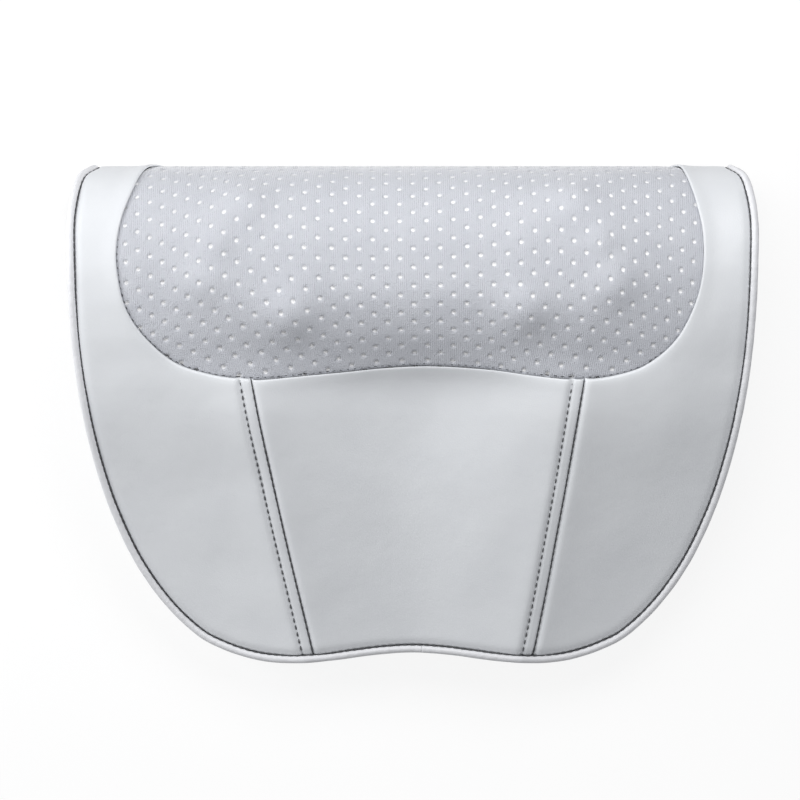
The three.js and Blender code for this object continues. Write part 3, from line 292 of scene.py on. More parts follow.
# Mesh making. Quads of a grid whose points are stored row by row
def gridFaces(rows, columns, ringed=False):
    j, i = np.meshgrid(np.arange(rows - 1), np.arange(columns if ringed else columns - 1), indexing="ij")
    k = (i + 1) % columns
    corners = [j * columns + i, j * columns + k, (j + 1) * columns + k, (j + 1) * columns + i]
    return np.stack(corners, -1).reshape(-1, 4)


# Turns faces so that they look away from a point, or out from the roll's middle line where none is given
def outward(points, faces, away=None):
    corners = points.reshape(-1, 3)[faces]
    centres = corners.mean(axis=1)
    normal = np.cross(corners[:, 1] - corners[:, 0], corners[:, 2] - corners[:, 0])
    reach = (centres - (0, 0.085, 0.05)) * (0, 1, 1) if away is None else centres - np.asarray(away)
    return faces if np.einsum("ij,ij->i", normal, reach).sum() > 0 else faces[:, ::-1]


# Turns all the face sets round where one of their faces, given by its corners, looks against a direction
def turnedTo(faceSets, corners, direction):
    a, b, c = corners[:3]
    against = np.dot(np.cross(b - a, c - a), direction) < 0
    return [faces[:, ::-1] for faces in faceSets] if against else faceSets


# Puts points and faces into a mesh object that rides on a body
def makePiece(name, points, faceSets, material, body="pillow", uv=None, values=None, slot=None):
    points = np.ascontiguousarray(points, float).reshape(-1, 3)
    faceSets = faceSets if isinstance(faceSets, list) else [faceSets]
    shell = bpy.data.meshes.new(name)
    shell.from_pydata(points.tolist(), [], [face for faces in faceSets for face in faces.tolist()])
    shell.polygons.foreach_set("use_smooth", np.ones(len(shell.polygons), bool))
    if uv is not None:
        corner = np.empty(len(shell.loops), int)
        shell.loops.foreach_get("vertex_index", corner)
        layer = shell.uv_layers.new(name="cut")
        layer.data.foreach_set("uv", np.asarray(uv, float).reshape(-1, 2)[corner].ravel())
    for key, value in (values or {}).items():
        shell.attributes.new(key, "FLOAT", "POINT").data.foreach_set("value", np.asarray(value, float).ravel())
    shell.update()
    piece = bpy.data.objects.new(name, shell)
    bpy.context.scene.collection.objects.link(piece)
    piece.data.materials.append(material)
    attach(piece, body)
    return piece


# Gives a surface its wall, inwards from its face
def thicken(piece, thickness):
    wall = piece.modifiers.new("wall", "SOLIDIFY")
    wall.thickness = thickness
    wall.offset = -1
    wall.use_even_offset = False


# Area of a grid surface: half the cross products of the two triangles in each of its cells
def gridArea(points):
    a, b, c, d = (points[:-1, :-1], points[:-1, 1:], points[1:, 1:], points[1:, :-1])
    halves = np.linalg.norm(np.cross(b - a, c - a), axis=-1) + np.linalg.norm(np.cross(c - a, d - a), axis=-1)
    return float(halves.sum() / 2)


# Area of a piece: the sum of its faces'
def faceArea(piece):
    areas = np.empty(len(piece.data.polygons))
    piece.data.polygons.foreach_get("area", areas)
    return float(areas.sum())


# Hides the solid that a stretched sheet takes the place of. Wide enough to hold its own area
def declareSheet(area, node):
    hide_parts(node)


# Circle at each place of a path: the cosine along its side vector and the sine along its up vector
def circlesRound(tangent, upward, sides):
    side = np.cross(tangent, upward)
    side /= np.linalg.norm(side, axis=1, keepdims=True)
    up = np.cross(side, tangent)
    turn = np.linspace(0, 2 * math.pi, sides, endpoint=False)
    return np.cos(turn)[None, :, None] * side[:, None] + np.sin(turn)[None, :, None] * up[:, None], up


# A round bar along a path: a circle of the radius at each place, closed by a fan of triangles at both ends
def closedTube(name, path, radius, sides, upward, material, **options):
    size = np.broadcast_to(radius, len(path)).reshape(-1, 1, 1)
    rings = path[:, None] + circlesRound(pathTangents(path), upward, sides)[0] * size
    points = np.vstack([rings.reshape(-1, 3), path[:1], path[-1:]])
    faces = gridFaces(len(path), sides, ringed=True)
    i = np.arange(sides)
    start = np.stack([np.full(sides, len(points) - 2), (i + 1) % sides, i], -1)
    last = (len(path) - 1) * sides
    end = np.stack([np.full(sides, len(points) - 1), last + i, last + (i + 1) % sides], -1)
    middle = len(path) // 2
    faceSets = turnedTo([faces, start, end], points[faces[middle * sides]], rings[middle, 0] - path[middle])
    return makePiece(name, points, faceSets, material, **options)


# Materials. A principled shader with its plain values; further sockets come by name
def nodeMaterial(name, colour, roughness, metallic=0.0, **sockets):
    material = bpy.data.materials.new(name)
    material.use_nodes = True
    shader = material.node_tree.nodes["Principled BSDF"]
    values = {"Base_Color": (*colour, 1), "Roughness": roughness, "Metallic": metallic} | sockets
    for key, value in values.items():
        shader.inputs[key.replace("_", " ")].default_value = value
    return material, material.node_tree, shader


# A node with its settings; each input is a value, or the socket that feeds it
def addNode(tree, kind, inputs=None, **settings):
    node = tree.nodes.new(kind)
    for key, value in settings.items():
        setattr(node, key, value)
    for key, value in (inputs or {}).items():
        if isinstance(value, bpy.types.NodeSocket):
            tree.links.new(value, node.inputs[key])
        else:
            node.inputs[key].default_value = value
    return node


# The piece's own coordinates, stretched by a scale
def objectCoords(tree, scale=(1, 1, 1)):
    coords = addNode(tree, "ShaderNodeTexCoord")
    return addNode(tree, "ShaderNodeMapping", {"Vector": coords.outputs["Object"], "Scale": scale}).outputs[0]


# One step of arithmetic on sockets or values
def mathNode(tree, operation, a, b=0.0):
    return addNode(tree, "ShaderNodeMath", {0: a, 1: b}, operation=operation).outputs[0]


# Height patterns: a node kind, its inputs and settings, and the output that is read
patterns = {
    "noise": ("ShaderNodeTexNoise", {"Detail": 2.0}, {}, "Fac"),
    "fibre": ("ShaderNodeTexNoise", {"Detail": 3.0}, {}, "Fac"),
    "grain": ("ShaderNodeTexNoise", {"Detail": 4.0}, {}, "Fac"),
    "cells": ("ShaderNodeTexVoronoi", {}, {}, "Distance"),
    "softCells": ("ShaderNodeTexVoronoi", {}, {"feature": "SMOOTH_F1"}, "Distance"),
    "twist": ("ShaderNodeTexWave", {"Distortion": 1.5}, {"bands_direction": "DIAGONAL"}, "Fac"),
    "warp": ("ShaderNodeTexWave", {"Distortion": 0.4}, {"bands_direction": "X"}, "Fac"),
    "weft": ("ShaderNodeTexWave", {"Distortion": 0.4}, {"bands_direction": "Y"}, "Fac"),
}


# Socket of a pattern, with the scale in repeats per metre
def addPattern(tree, coords, name, scale):
    kind, inputs, settings, output = patterns[name]
    return addNode(tree, kind, {"Vector": coords, "Scale": scale} | inputs, **settings).outputs[output]


# Colour that moves between two tones by a noise, into a socket
def mottle(tree, target, coords, light, dark, scale, detail=3.0, low=0.35, high=0.65):
    noise = addNode(tree, "ShaderNodeTexNoise", {"Vector": coords, "Scale": scale, "Detail": detail})
    ramp = addNode(tree, "ShaderNodeValToRGB", {"Fac": noise.outputs["Fac"]})
    for stop, place, tone in zip(ramp.color_ramp.elements, (low, high), (dark, light)):
        stop.position = place
        stop.color = (*tone, 1)
    tree.links.new(ramp.outputs["Color"], target)


# Stacks bumps: each is a height socket and its depth in metres
def addBumps(tree, shader, bumps):
    normal = None
    for height, depth in bumps:
        node = addNode(tree, "ShaderNodeBump", {"Height": height, "Strength": 1.0, "Distance": depth})
        if normal is not None:
            tree.links.new(normal, node.inputs["Normal"])
        normal = node.outputs["Normal"]
    tree.links.new(normal, shader.inputs["Normal"])


# A finish: two mottled tones, bumps from height patterns, and where gloss is given a roughness that moves with one
def makeFinish(name, colour, shade, roughness, mottling, bumps, gloss=None, metallic=0.0, streak=(1, 1, 1), **sheen):
    material, tree, shader = nodeMaterial(name, colour, roughness, metallic, **sheen)
    coords = objectCoords(tree, streak)
    mottle(tree, shader.inputs["Base Color"], coords, colour, shade, *mottling)
    addBumps(tree, shader, [(addPattern(tree, coords, pattern, scale), depth) for pattern, scale, depth in bumps])
    if gloss:
        pattern, scale, low, high = gloss
        moved = addNode(tree, "ShaderNodeMapRange", {
            "Value": addPattern(tree, coords, pattern, scale), "To Min": low, "To Max": high})
        tree.links.new(moved.outputs[0], shader.inputs["Roughness"])
    return material


# Leather: cells and pores on a softly uneven face, whose gloss moves with it
def makeLeather(name, colour, shade, soft=60, softDepth=0.0004):
    bumps = [("noise", soft, softDepth), ("softCells", 1500, 0.00006), ("noise", 2600, 0.00003)]
    return makeFinish(name, colour, shade, 0.42, (35,), bumps, ("noise", soft, 0.37, 0.49),
                      Sheen_Weight=0.08, Sheen_Roughness=0.4)


coverLeather = makeLeather("coverLeather", (0.727, 0.745, 0.77), (0.707, 0.725, 0.752))
pipingLeather = makeLeather("pipingLeather", (0.76, 0.765, 0.79), (0.74, 0.745, 0.77), 240, 0.0005)
threadTone = (0.09, 0.092, 0.1)
greyThread = makeFinish("greyThread", threadTone, tuple(c * 0.6 for c in threadTone), 0.7, (900,),
                        [("twist", 900, 0.0001)])
liningCloth = makeFinish("liningCloth", (0.8, 0.8, 0.81), (0.72, 0.72, 0.74), 0.95, (120, 5),
                         [("grain", 1800, 0.0003)], Sheen_Weight=0.4)
foamCells = makeFinish("foamCells", (0.78, 0.76, 0.66), (0.7, 0.68, 0.57), 0.95, (70, 5),
                       [("cells", 700, 0.0004), ("fibre", 2200, 0.0001)])


# Plain weave: two crossed waves as bumps, with fine fibres over them
def makeWeave(name, colour, shade, pitch, depth):
    material, tree, shader = nodeMaterial(name, colour, 0.9, Sheen_Weight=0.3)
    coords = objectCoords(tree)
    warp, weft = (addPattern(tree, coords, thread, 1 / pitch / 2 / math.pi) for thread in ("warp", "weft"))
    mottle(tree, shader.inputs["Base Color"], coords, colour, shade, 90, 5)
    addBumps(tree, shader, [(mathNode(tree, "MAXIMUM", warp, weft), depth),
                            (addPattern(tree, coords, "fibre", 2500), 0.00008)])
    return material


backCloth = makeWeave("backCloth", (0.3, 0.305, 0.315), (0.25, 0.255, 0.265), 0.0014, 0.00025)
zipTapeCloth = makeWeave("zipTapeCloth", (0.5, 0.505, 0.52), (0.43, 0.435, 0.45), 0.0009, 0.00015)


# Plastics and metals: a fine moulded or brushed grain and a slow change of gloss
def makeHard(name, colour, roughness, metallic=0.0, grain=900, depth=0.00003, streak=(1, 1, 1)):
    worn = tuple(c * 0.92 for c in colour)
    return makeFinish(name, colour, worn, roughness, (60,), [("grain", grain, depth)],
                      ("fibre", 45, roughness * 0.8, min(roughness * 1.25, 1.0)), metallic, streak)


zipPlastic = makeHard("zipPlastic", (0.42, 0.425, 0.44), 0.45)
zipMetal = makeHard("zipMetal", (0.72, 0.72, 0.74), 0.3, 1.0, 1500, 0.00002, (1, 8, 8))
buttonPlastic = makeHard("buttonPlastic", (0.5, 0.51, 0.53), 0.38, grain=1400)
markPlastic = makeHard("markPlastic", (0.85, 0.86, 0.88), 0.5, grain=1400)
blackPlastic = makeHard("blackPlastic", (0.035, 0.036, 0.038), 0.5, grain=1100)
whitePlastic = makeHard("whitePlastic", (0.78, 0.78, 0.76), 0.42, grain=1100)
headPlastic = makeHard("headPlastic", (0.74, 0.75, 0.77), 0.35, grain=700)
steel = makeHard("steel", (0.58, 0.58, 0.6), 0.32, 1.0, 1200, 0.00002, (1, 1, 12))
brass = makeHard("brass", (0.72, 0.53, 0.25), 0.3, 1.0, 1200, 0.00002, (1, 12, 1))
leadSheath = makeHard("leadSheath", (0.04, 0.04, 0.042), 0.55, grain=1600)
lens = makeHard("lens", (0.5, 0.03, 0.02), 0.15, grain=300)


# Circuit board: green bricks with paler tracks between them
def makeBoard(name):
    material, tree, shader = nodeMaterial(name, (0.03, 0.16, 0.07), 0.4)
    tracks = addNode(tree, "ShaderNodeTexBrick", {
        "Vector": objectCoords(tree), "Scale": 140.0, "Color1": (0.03, 0.17, 0.075, 1),
        "Color2": (0.028, 0.15, 0.065, 1), "Mortar": (0.06, 0.27, 0.12, 1), "Mortar Size": 0.03})
    tree.links.new(tracks.outputs["Color"], shader.inputs["Base Color"])
    addBumps(tree, shader, [(tracks.outputs["Fac"], 0.00004)])
    return material


circuitBoard = makeBoard("circuitBoard")
print("materials ready")

# The two seams and the mesh window, as they lie on the sheet: x against y, and x against run
seams = {
    -1: [(-0.137, -0.0568), (-0.131, -0.0582), (-0.07, -0.0729), (-0.038, -0.0801), (-0.005, -0.0873),
         (0.02, -0.0921)],
    1: [(-0.137, 0.0627), (-0.131, 0.064), (-0.106, 0.0692), (-0.072, 0.0756), (-0.038, 0.0818), (0.02, 0.0915)],
    "bottom": -0.131, "low": -0.137, "top": 0.02, "slant": 0.975, "jointAt": 0.003,
}
window = {
    "outline": [
        (-0.129, 0.2009), (-0.134, 0.1854), (-0.142, 0.1672), (-0.153, 0.1315), (-0.1602, 0.11),
        (-0.163, 0.0918), (-0.1619, 0.0745), (-0.1575, 0.0579), (-0.1475, 0.043), (-0.131, 0.0292),
        (-0.1117, 0.0226), (-0.094, 0.0204), (-0.0786, 0.0204), (-0.0427, 0.0237), (-0.0152, 0.0265),
        (0.0097, 0.0276), (0.04, 0.0259), (0.0676, 0.0221), (0.0907, 0.0204), (0.1089, 0.0215),
        (0.1282, 0.0276), (0.1448, 0.0414), (0.1552, 0.0607), (0.1597, 0.08), (0.1597, 0.1011),
        (0.1563, 0.1192), (0.1503, 0.1426), (0.1455, 0.1672), (0.139, 0.1854), (0.134, 0.2009),
    ],
    "pointsPerSpan": 24,
}
windowCurve = smoothPath(window["outline"], window["pointsPerSpan"])


# Middle of a seam, from its table, with its ends held level beyond the table
def seamMiddle(y, hand):
    return follow(seams[hand], np.clip(y, seams["low"], seams["top"]))


# Signed distance across a seam, towards the right
def seamAcross(x, y, hand):
    return (x - seamMiddle(y, hand)) * seams["slant"]


# Joint of two panels: beside the seam's middle, square to its slant
def jointX(y, hand):
    return seamMiddle(y, hand) + seams["jointAt"] / seams["slant"]


# Leather cover: two outer panels and a centre one, cut to the window, the seams and the piped edge
cover = {
    "thickness": 0.0014, "edgeInset": 0.0044, "endAngle": 126.5, "windowGap": 0.0003, "jointGap": 0.0003,
    "edgeRadius": 0.0011, "jointRadius": 0.0006, "lipRise": 0.0009, "lipWidth": 0.0055,
    "borderRise": 0.0003, "borderWidth": 0.012, "borderEnd": 0.055, "borderFade": 0.008,
    "beadRise": 0.0023, "beadWidth": 0.0125, "beadFlat": 0.075,
    "edgeDrop": 0.0011, "dropWidth": 0.0026, "topRun": 0.13, "topShare": 0.8, "topFade": 0.0025,
    "bandRise": 0.0003, "seamDepth": 0.0012, "seamWidth": 0.0009, "seamEnd": 0.024, "seamFade": 0.002,
    "puff": 0.0013, "puffFrom": 0.0022, "puffWidth": 0.011,
    "waveHeight": 0.0002, "waveLength": 0.05, "waveSeed": 5, "waveFrom": 0.03,
    "rows": 330, "nearRows": 16, "innerFine": 18, "outerFine": 14, "across": 34,
    "firstSteps": (0, 0.00018, 0.0004), "fineStep": 0.0005, "stepGrowth": 1.08,
    "centreWide": 0.15, "centreHigh": 0.155, "centreColumns": (10, 26, 84), "centreRows": (16, 18, 86),
}


# Places along a length: fine steps at both ends, even ones between
def finePlaces(length, inner, outer, between):
    first = cover["firstSteps"]
    near, far = (
        np.concatenate([first, first[-1] + cover["fineStep"] * np.arange(1, count - 2) ** cover["stepGrowth"]])
        for count in (inner, outer))
    middle = np.linspace(0, 1, between + 2)[1:-1]
    length = np.asarray(length)[..., None]
    span = length - near[-1] - far[-1]
    return np.concatenate([
        np.broadcast_to(near, length.shape[:-1] + near.shape),
        near[-1] + span * middle,
        length - np.broadcast_to(far[::-1], length.shape[:-1] + far.shape)], -1)


# Lift at a seam: a flat band between two stitched grooves, with the leather puffed up beyond them
def seamLift(across):
    away = np.abs(across) - seams["jointAt"]
    groove = -cover["seamDepth"] * bell(away, cover["seamWidth"])
    puffed = cover["puff"] * (1 - bell(away, cover["puffFrom"])) * bell(away, cover["puffWidth"])
    return groove + np.where(away > 0, puffed, cover["bandRise"])


# Padded border below the window: highest beside it, with a bead that swells and falls away from it
def borderLift(x, run, toWindow):
    away = toWindow / cover["beadWidth"]
    bead = cover["beadRise"] * (1 - np.exp(-(x / cover["beadFlat"]) ** 4))
    raised = cover["borderRise"] * bell(toWindow, cover["borderWidth"])
    return below(run, cover["borderEnd"], cover["borderFade"]) * (raised + bead * away * np.exp(1 - away))


# Lift of the leather: lip at the window, its border, seams, the dip beside the piping, a slow wave, rolled edges
def leatherLift(x, run, toWindow, toEdge, toJoint):
    lift = cover["lipRise"] * bell(toWindow, cover["lipWidth"]) + borderLift(x, run, toWindow)
    for hand in (-1, 1):
        lift = lift + seamLift(seamAcross(x, run, hand)) * below(run, cover["seamEnd"], cover["seamFade"])
    atTop = cover["topShare"] * below(-run, -cover["topRun"], cover["topFade"])
    lift = lift - cover["edgeDrop"] * (1 - atTop) * bell(toEdge, cover["dropWidth"])
    wave = ripple(x, run, cover["waveLength"], cover["waveSeed"])
    lift = lift + cover["waveHeight"] * wave * np.clip(toEdge / cover["waveFrom"], 0, 1)
    lift = lift + rolledEdge(np.minimum(toWindow, toEdge), cover["edgeRadius"])
    return lift + rolledEdge(toJoint, cover["jointRadius"])


# Side edge in (x, run) from an angle on the roll down to the corner, moved in by an inset
def sideLine(hand, endAngle, inset, count):
    runs = np.linspace(runAt(math.radians(endAngle)), cornerPlan(inset)[1], count)
    return np.stack([hand * sidePlan(planY(runs), inset), runs], -1)


# Half of the piped edge: the side edge, then the bottom edge from the corner to the middle
def edgeCurve(inset, hand, count=900):
    xs = np.linspace(cornerPlan(inset)[0], 0, count)[1:]
    return np.vstack([sideLine(hand, cover["endAngle"] + 12, inset, count),
                      np.stack([hand * xs, bottomPlan(xs, inset)], -1)])


edgeLine = np.vstack([edgeCurve(cover["edgeInset"], -1), edgeCurve(cover["edgeInset"], 1)[::-1]])


# Height where a joint meets the bottom edge: a few steps of the one read at the other
def seamBottomY(hand, inset):
    y = seams["bottom"]
    for _ in range(4):
        y = float(bottomPlan(abs(jointX(y, hand)), inset))
    return y


# Makes a panel from its grid in (x, run), lifted off the sheet by its distances to window, edge and joint
def finishLeather(name, grid, toJoint, away, node):
    x, run = grid[..., 0], grid[..., 1]
    toWindow = nearest(grid, windowCurve)[0]
    toEdge = nearest(grid, edgeLine)[0]
    points = sheetAt(x, run, leatherLift(x, run, toWindow, toEdge, toJoint))
    faces = outward(points, gridFaces(*x.shape), away)
    piece = makePiece(name, points, faces, coverLeather, uv=grid, slot="leather")
    thicken(piece, cover["thickness"])
    declareSheet(gridArea(points), node)


# Inner side of an outer panel: the window's rim as far as the joint, then the joint down to the bottom edge.
# Rows are shared out between the two, finer near the bottom
def innerSide(hand, inset):
    curve = windowCurve[::-hand]
    gap = hand * cover["jointGap"]
    joint = float(jointX(seams["top"], hand)) + gap
    past = np.argmax((curve[:, 0] - joint) * hand < 0)
    crossing = np.array([[joint, np.interp(joint, *curve[past - 1:past + 1][::-hand].T)]])
    rim = np.vstack([curve[:past], crossing])
    ys = np.linspace(crossing[0, 1], seamBottomY(hand, inset), 200)[1:]
    seamLine = np.stack([jointX(ys, hand) + gap, ys], -1)
    inner = np.vstack([rim, seamLine])
    junction = lengthsAlong(rim)[-1] / lengthsAlong(inner)[-1]
    lowerSpan = lengthsAlong(seamLine)[-1]
    upper = np.linspace(0, junction, int(cover["rows"] * junction) + 1)
    lower = finePlaces(np.array(lowerSpan), 6, cover["nearRows"], int(cover["rows"] * (1 - junction)))
    shares = np.concatenate([upper, (junction + (1 - junction) * lower / lowerSpan)[1:]])
    return resample(inner, shares), shares, junction


# Outer panel: straight rows from the inner side to the edge, bent to the bottom edge at their end
def makeOuterPanel(name, hand, node):
    inset = cover["edgeInset"]
    inner, shares, junction = innerSide(hand, inset)
    outerShares = np.interp(shares, [0, 0.7 * junction, junction, 1], [0, 0.4, 0.66, 1])
    outer = resample(sideLine(hand, cover["endAngle"], inset, 600), outerShares)
    reach = np.linalg.norm(outer - inner, axis=1)
    places = finePlaces(reach, cover["innerFine"], cover["outerFine"], cover["across"])
    u = places / reach[:, None]
    grid = lerp(inner[:, None], outer[:, None], u[..., None])
    xs = lerp(inner[-1, 0], outer[-1, 0], u[-1])
    bend = np.stack([xs, bottomPlan(np.abs(xs), inset)], -1) - grid[-1]
    weight = np.clip((shares - junction) / (1 - junction), 0, 1) ** 2
    grid = grid + bend[None] * weight[:, None, None]
    x, run = grid[..., 0], grid[..., 1]
    toJoint = np.where(run < seams["top"], np.abs(seamAcross(x, run, hand) - seams["jointAt"]), 1)
    finishLeather(name, grid, toJoint, (0, 0.03, 0.03), node)


# Centre panel: rows between the two joints, from the bottom edge up to the window, settled in a few rounds
def makeCentrePanel(name, node):
    wide, high = cover["centreWide"], cover["centreHigh"]
    rim = windowCurve[windowCurve[:, 1] < 0.06]
    u, v = np.meshgrid(finePlaces(np.array(wide), *cover["centreColumns"]) / wide,
                       finePlaces(np.array(high), *cover["centreRows"]) / high)
    y = seams["bottom"] + high * v
    for _ in range(5):
        x = lerp(jointX(y, -1) + cover["jointGap"], jointX(y, 1) - cover["jointGap"], u)
        top = np.interp(x, rim[:, 0], rim[:, 1]) - cover["windowGap"]
        y = lerp(bottomPlan(np.abs(x), cover["edgeInset"]), top, v)
    toJoint = np.minimum(*(np.abs(seamAcross(x, y, hand) - seams["jointAt"]) for hand in (-1, 1)))
    finishLeather(name, np.stack([x, y], -1), toJoint, (0, 0.03, -1), node)


makeOuterPanel("leather_left", -1, "cover_left")
makeOuterPanel("leather_right", 1, "cover_right")
makeCentrePanel("leather_centre", "cover_centre")
print("leather cover made")

# Mesh panel: a knitted lattice whose small oval eyelets stand in staggered rows, pushed up by the heads, each of
# which is x, run, height and radius
mesh = {
    "tileWidth": 0.01436, "tileHeight": 0.005442, "tileColumns": 12, "tileRows": 4,
    "eyeletWidth": 0.003, "eyeletHeight": 0.0028, "eyeletDepth": 0.0012, "innerShare": 0.68, "innerSink": 0.85,
    "left": -0.17972, "bottom": -0.08555, "columns": 300, "rows": 156, "gaugeX": 0.04, "overlap": 0.0034,
    "runs": (-0.03, 0.215, 900), "rimDrop": 0.0007, "rimWidth": 0.004, "tuckDrop": 0.0013, "tuckWidth": 0.0016,
    "heads": [
        (-0.0665, 0.0555, 0.0048, 0.0132), (-0.0902, 0.1165, 0.0028, 0.0110),
        (-0.1144, 0.0735, 0.0028, 0.0110), (-0.1076, 0.0945, 0.0018, 0.0080),
        (0.0618, 0.0587, 0.0048, 0.0132), (0.0902, 0.1185, 0.0028, 0.0110),
        (0.1120, 0.0725, 0.0028, 0.0110), (0.1034, 0.0960, 0.0018, 0.0080),
    ],
    "domePower": 2.2, "domeFrom": 0.006, "ringRadius": 0.02925, "ringHeight": 0.001, "ringWidth": 0.013,
    "rotorX": 0.0884, "rotorY": 0.086, "thickness": 0.0009, "ribPitch": 0.00113, "ribDepth": 0.00007, "ribSway": 0.35,
    "colour": (0.58, 0.595, 0.64), "shade": (0.545, 0.56, 0.607), "eyelet": (0.93, 0.93, 0.94),
}


# Lift of the mesh: a dome over each head, a low ring where they turn, the border it shares with the leather, and
# the drop under the leather's lip
def meshLift(x, run, outside):
    inside = np.minimum(outside, 0)
    lift = -mesh["rimDrop"] * np.exp(inside / mesh["rimWidth"])
    lift = lift - mesh["tuckDrop"] * np.clip(outside / mesh["tuckWidth"], 0, 1)
    lower = below(run, cover["borderEnd"], cover["borderFade"])
    lift = lift + cover["borderRise"] * bell(inside, cover["borderWidth"]) * lower
    fade = 1 - np.exp(inside / mesh["domeFrom"])
    for headX, headRun, height, radius in mesh["heads"]:
        away = np.hypot(x - headX, run - headRun) / radius
        lift = lift + height * np.exp(-away ** mesh["domePower"]) * fade
    for hand in (-1, 1):
        away = np.hypot(x - hand * mesh["rotorX"], run - mesh["rotorY"])
        lift = lift + mesh["ringHeight"] * bell(away - mesh["ringRadius"], mesh["ringWidth"]) * fade
    return lift


# Drape of the cloth: its rows sag towards both sides and spread over each rotor
drape = {
    "across": [(0.76, -0.69), (3.2, -0.24), (-2.79, 1.16), (-5.95, 2.53), (0.65, 0.08)],
    "along": [(2.46, -3.66), (3.81, 1.25), (-17.86, 0.59), (2.13, 0.15), (3.29, 6.39)],
    "acrossBells": [(-1.99, -2.78, 5.63), (1.89, 2.62, -4.85)],
    "alongBells": [(6.18, 9.71, -3.17), (5.9, 9.37, -2.38)],
    "halfWidth": 0.16, "halfHeight": 0.06, "middle": -0.004, "bellAt": 0.5525, "bellWidth": 0.3,
    "limits": (1.02, 1.15), "fadeFrom": 0.068, "fadeTo": 0.112,
}


# Moves in mm, across and along: with s and t the shares of the half width and half height, (a + b t) times each
# power of s, and over each rotor a bell in s times a + b t + c t squared. All of it fades out over the roll
def drapeCloth(x, arc):
    s = np.clip(x / drape["halfWidth"], -drape["limits"][0], drape["limits"][0])
    t = np.clip((arc - drape["middle"]) / drape["halfHeight"], -drape["limits"][1], drape["limits"][1])
    fade = np.clip((drape["fadeTo"] - arc) / (drape["fadeTo"] - drape["fadeFrom"]), 0, 1)
    fade = fade * fade * (3 - 2 * fade)
    moves = []
    for powers, bells in (("across", "acrossBells"), ("along", "alongBells")):
        move = sum((a + b * t) * s ** k for k, (a, b) in enumerate(drape[powers]))
        for hand, (a, b, c) in zip((-1, 1), drape[bells]):
            move = move + bell(s - hand * drape["bellAt"], drape["bellWidth"]) * (a + b * t + c * t * t)
        moves.append(move * fade / 1000)
    return x + moves[0], arc + moves[1]


# Signed distance to the window's outline, above 0 outside it
def outsideWindow(grid):
    away, which = nearest(grid, windowCurve)
    tangent = pathTangents(windowCurve)[which]
    reach = grid - windowCurve[which]
    side = tangent[..., 0] * reach[..., 1] - tangent[..., 1] * reach[..., 0]
    return np.where(side > 0, -away, away)


# Run along the pillow for each arc length from the roll's highest line
def runOfArc(arc):
    runs = np.linspace(*mesh["runs"])
    arcs = lengthsAlong(sheetPoint(np.full(len(runs), mesh["gaugeX"]), runs))
    return np.interp(arc, arcs - np.interp(apexY, runs, arcs), runs)


# Lattice: even cells, where the ring of points round each tile's middle is drawn to an oval. The middles give
# the eyelets
def meshLattice():
    tileColumns, tileRows = mesh["tileColumns"], mesh["tileRows"]
    cellWidth, cellHeight = mesh["tileWidth"] / tileColumns, mesh["tileHeight"] / tileRows
    i, j = np.meshgrid(np.arange(mesh["columns"] + 1), np.arange(mesh["rows"] + 1))
    shifted = i + (j // tileRows % 2) * (tileColumns // 2)
    dx = shifted % tileColumns - tileColumns // 2
    dy = j % tileRows - tileRows // 2
    centre = (dx == 0) & (dy == 0)
    ringed = (np.abs(dx) <= 1) & (np.abs(dy) <= 1) & ~centre
    angle = np.arctan2(dy, dx)
    x = mesh["left"] + i * cellWidth
    x = np.where(ringed, x - dx * cellWidth + mesh["eyeletWidth"] / 2 * np.cos(angle), x)
    arc = mesh["bottom"] + j * cellHeight
    arc = np.where(ringed, arc - dy * cellHeight + mesh["eyeletHeight"] / 2 * np.sin(angle), arc)
    return x, arc, centre


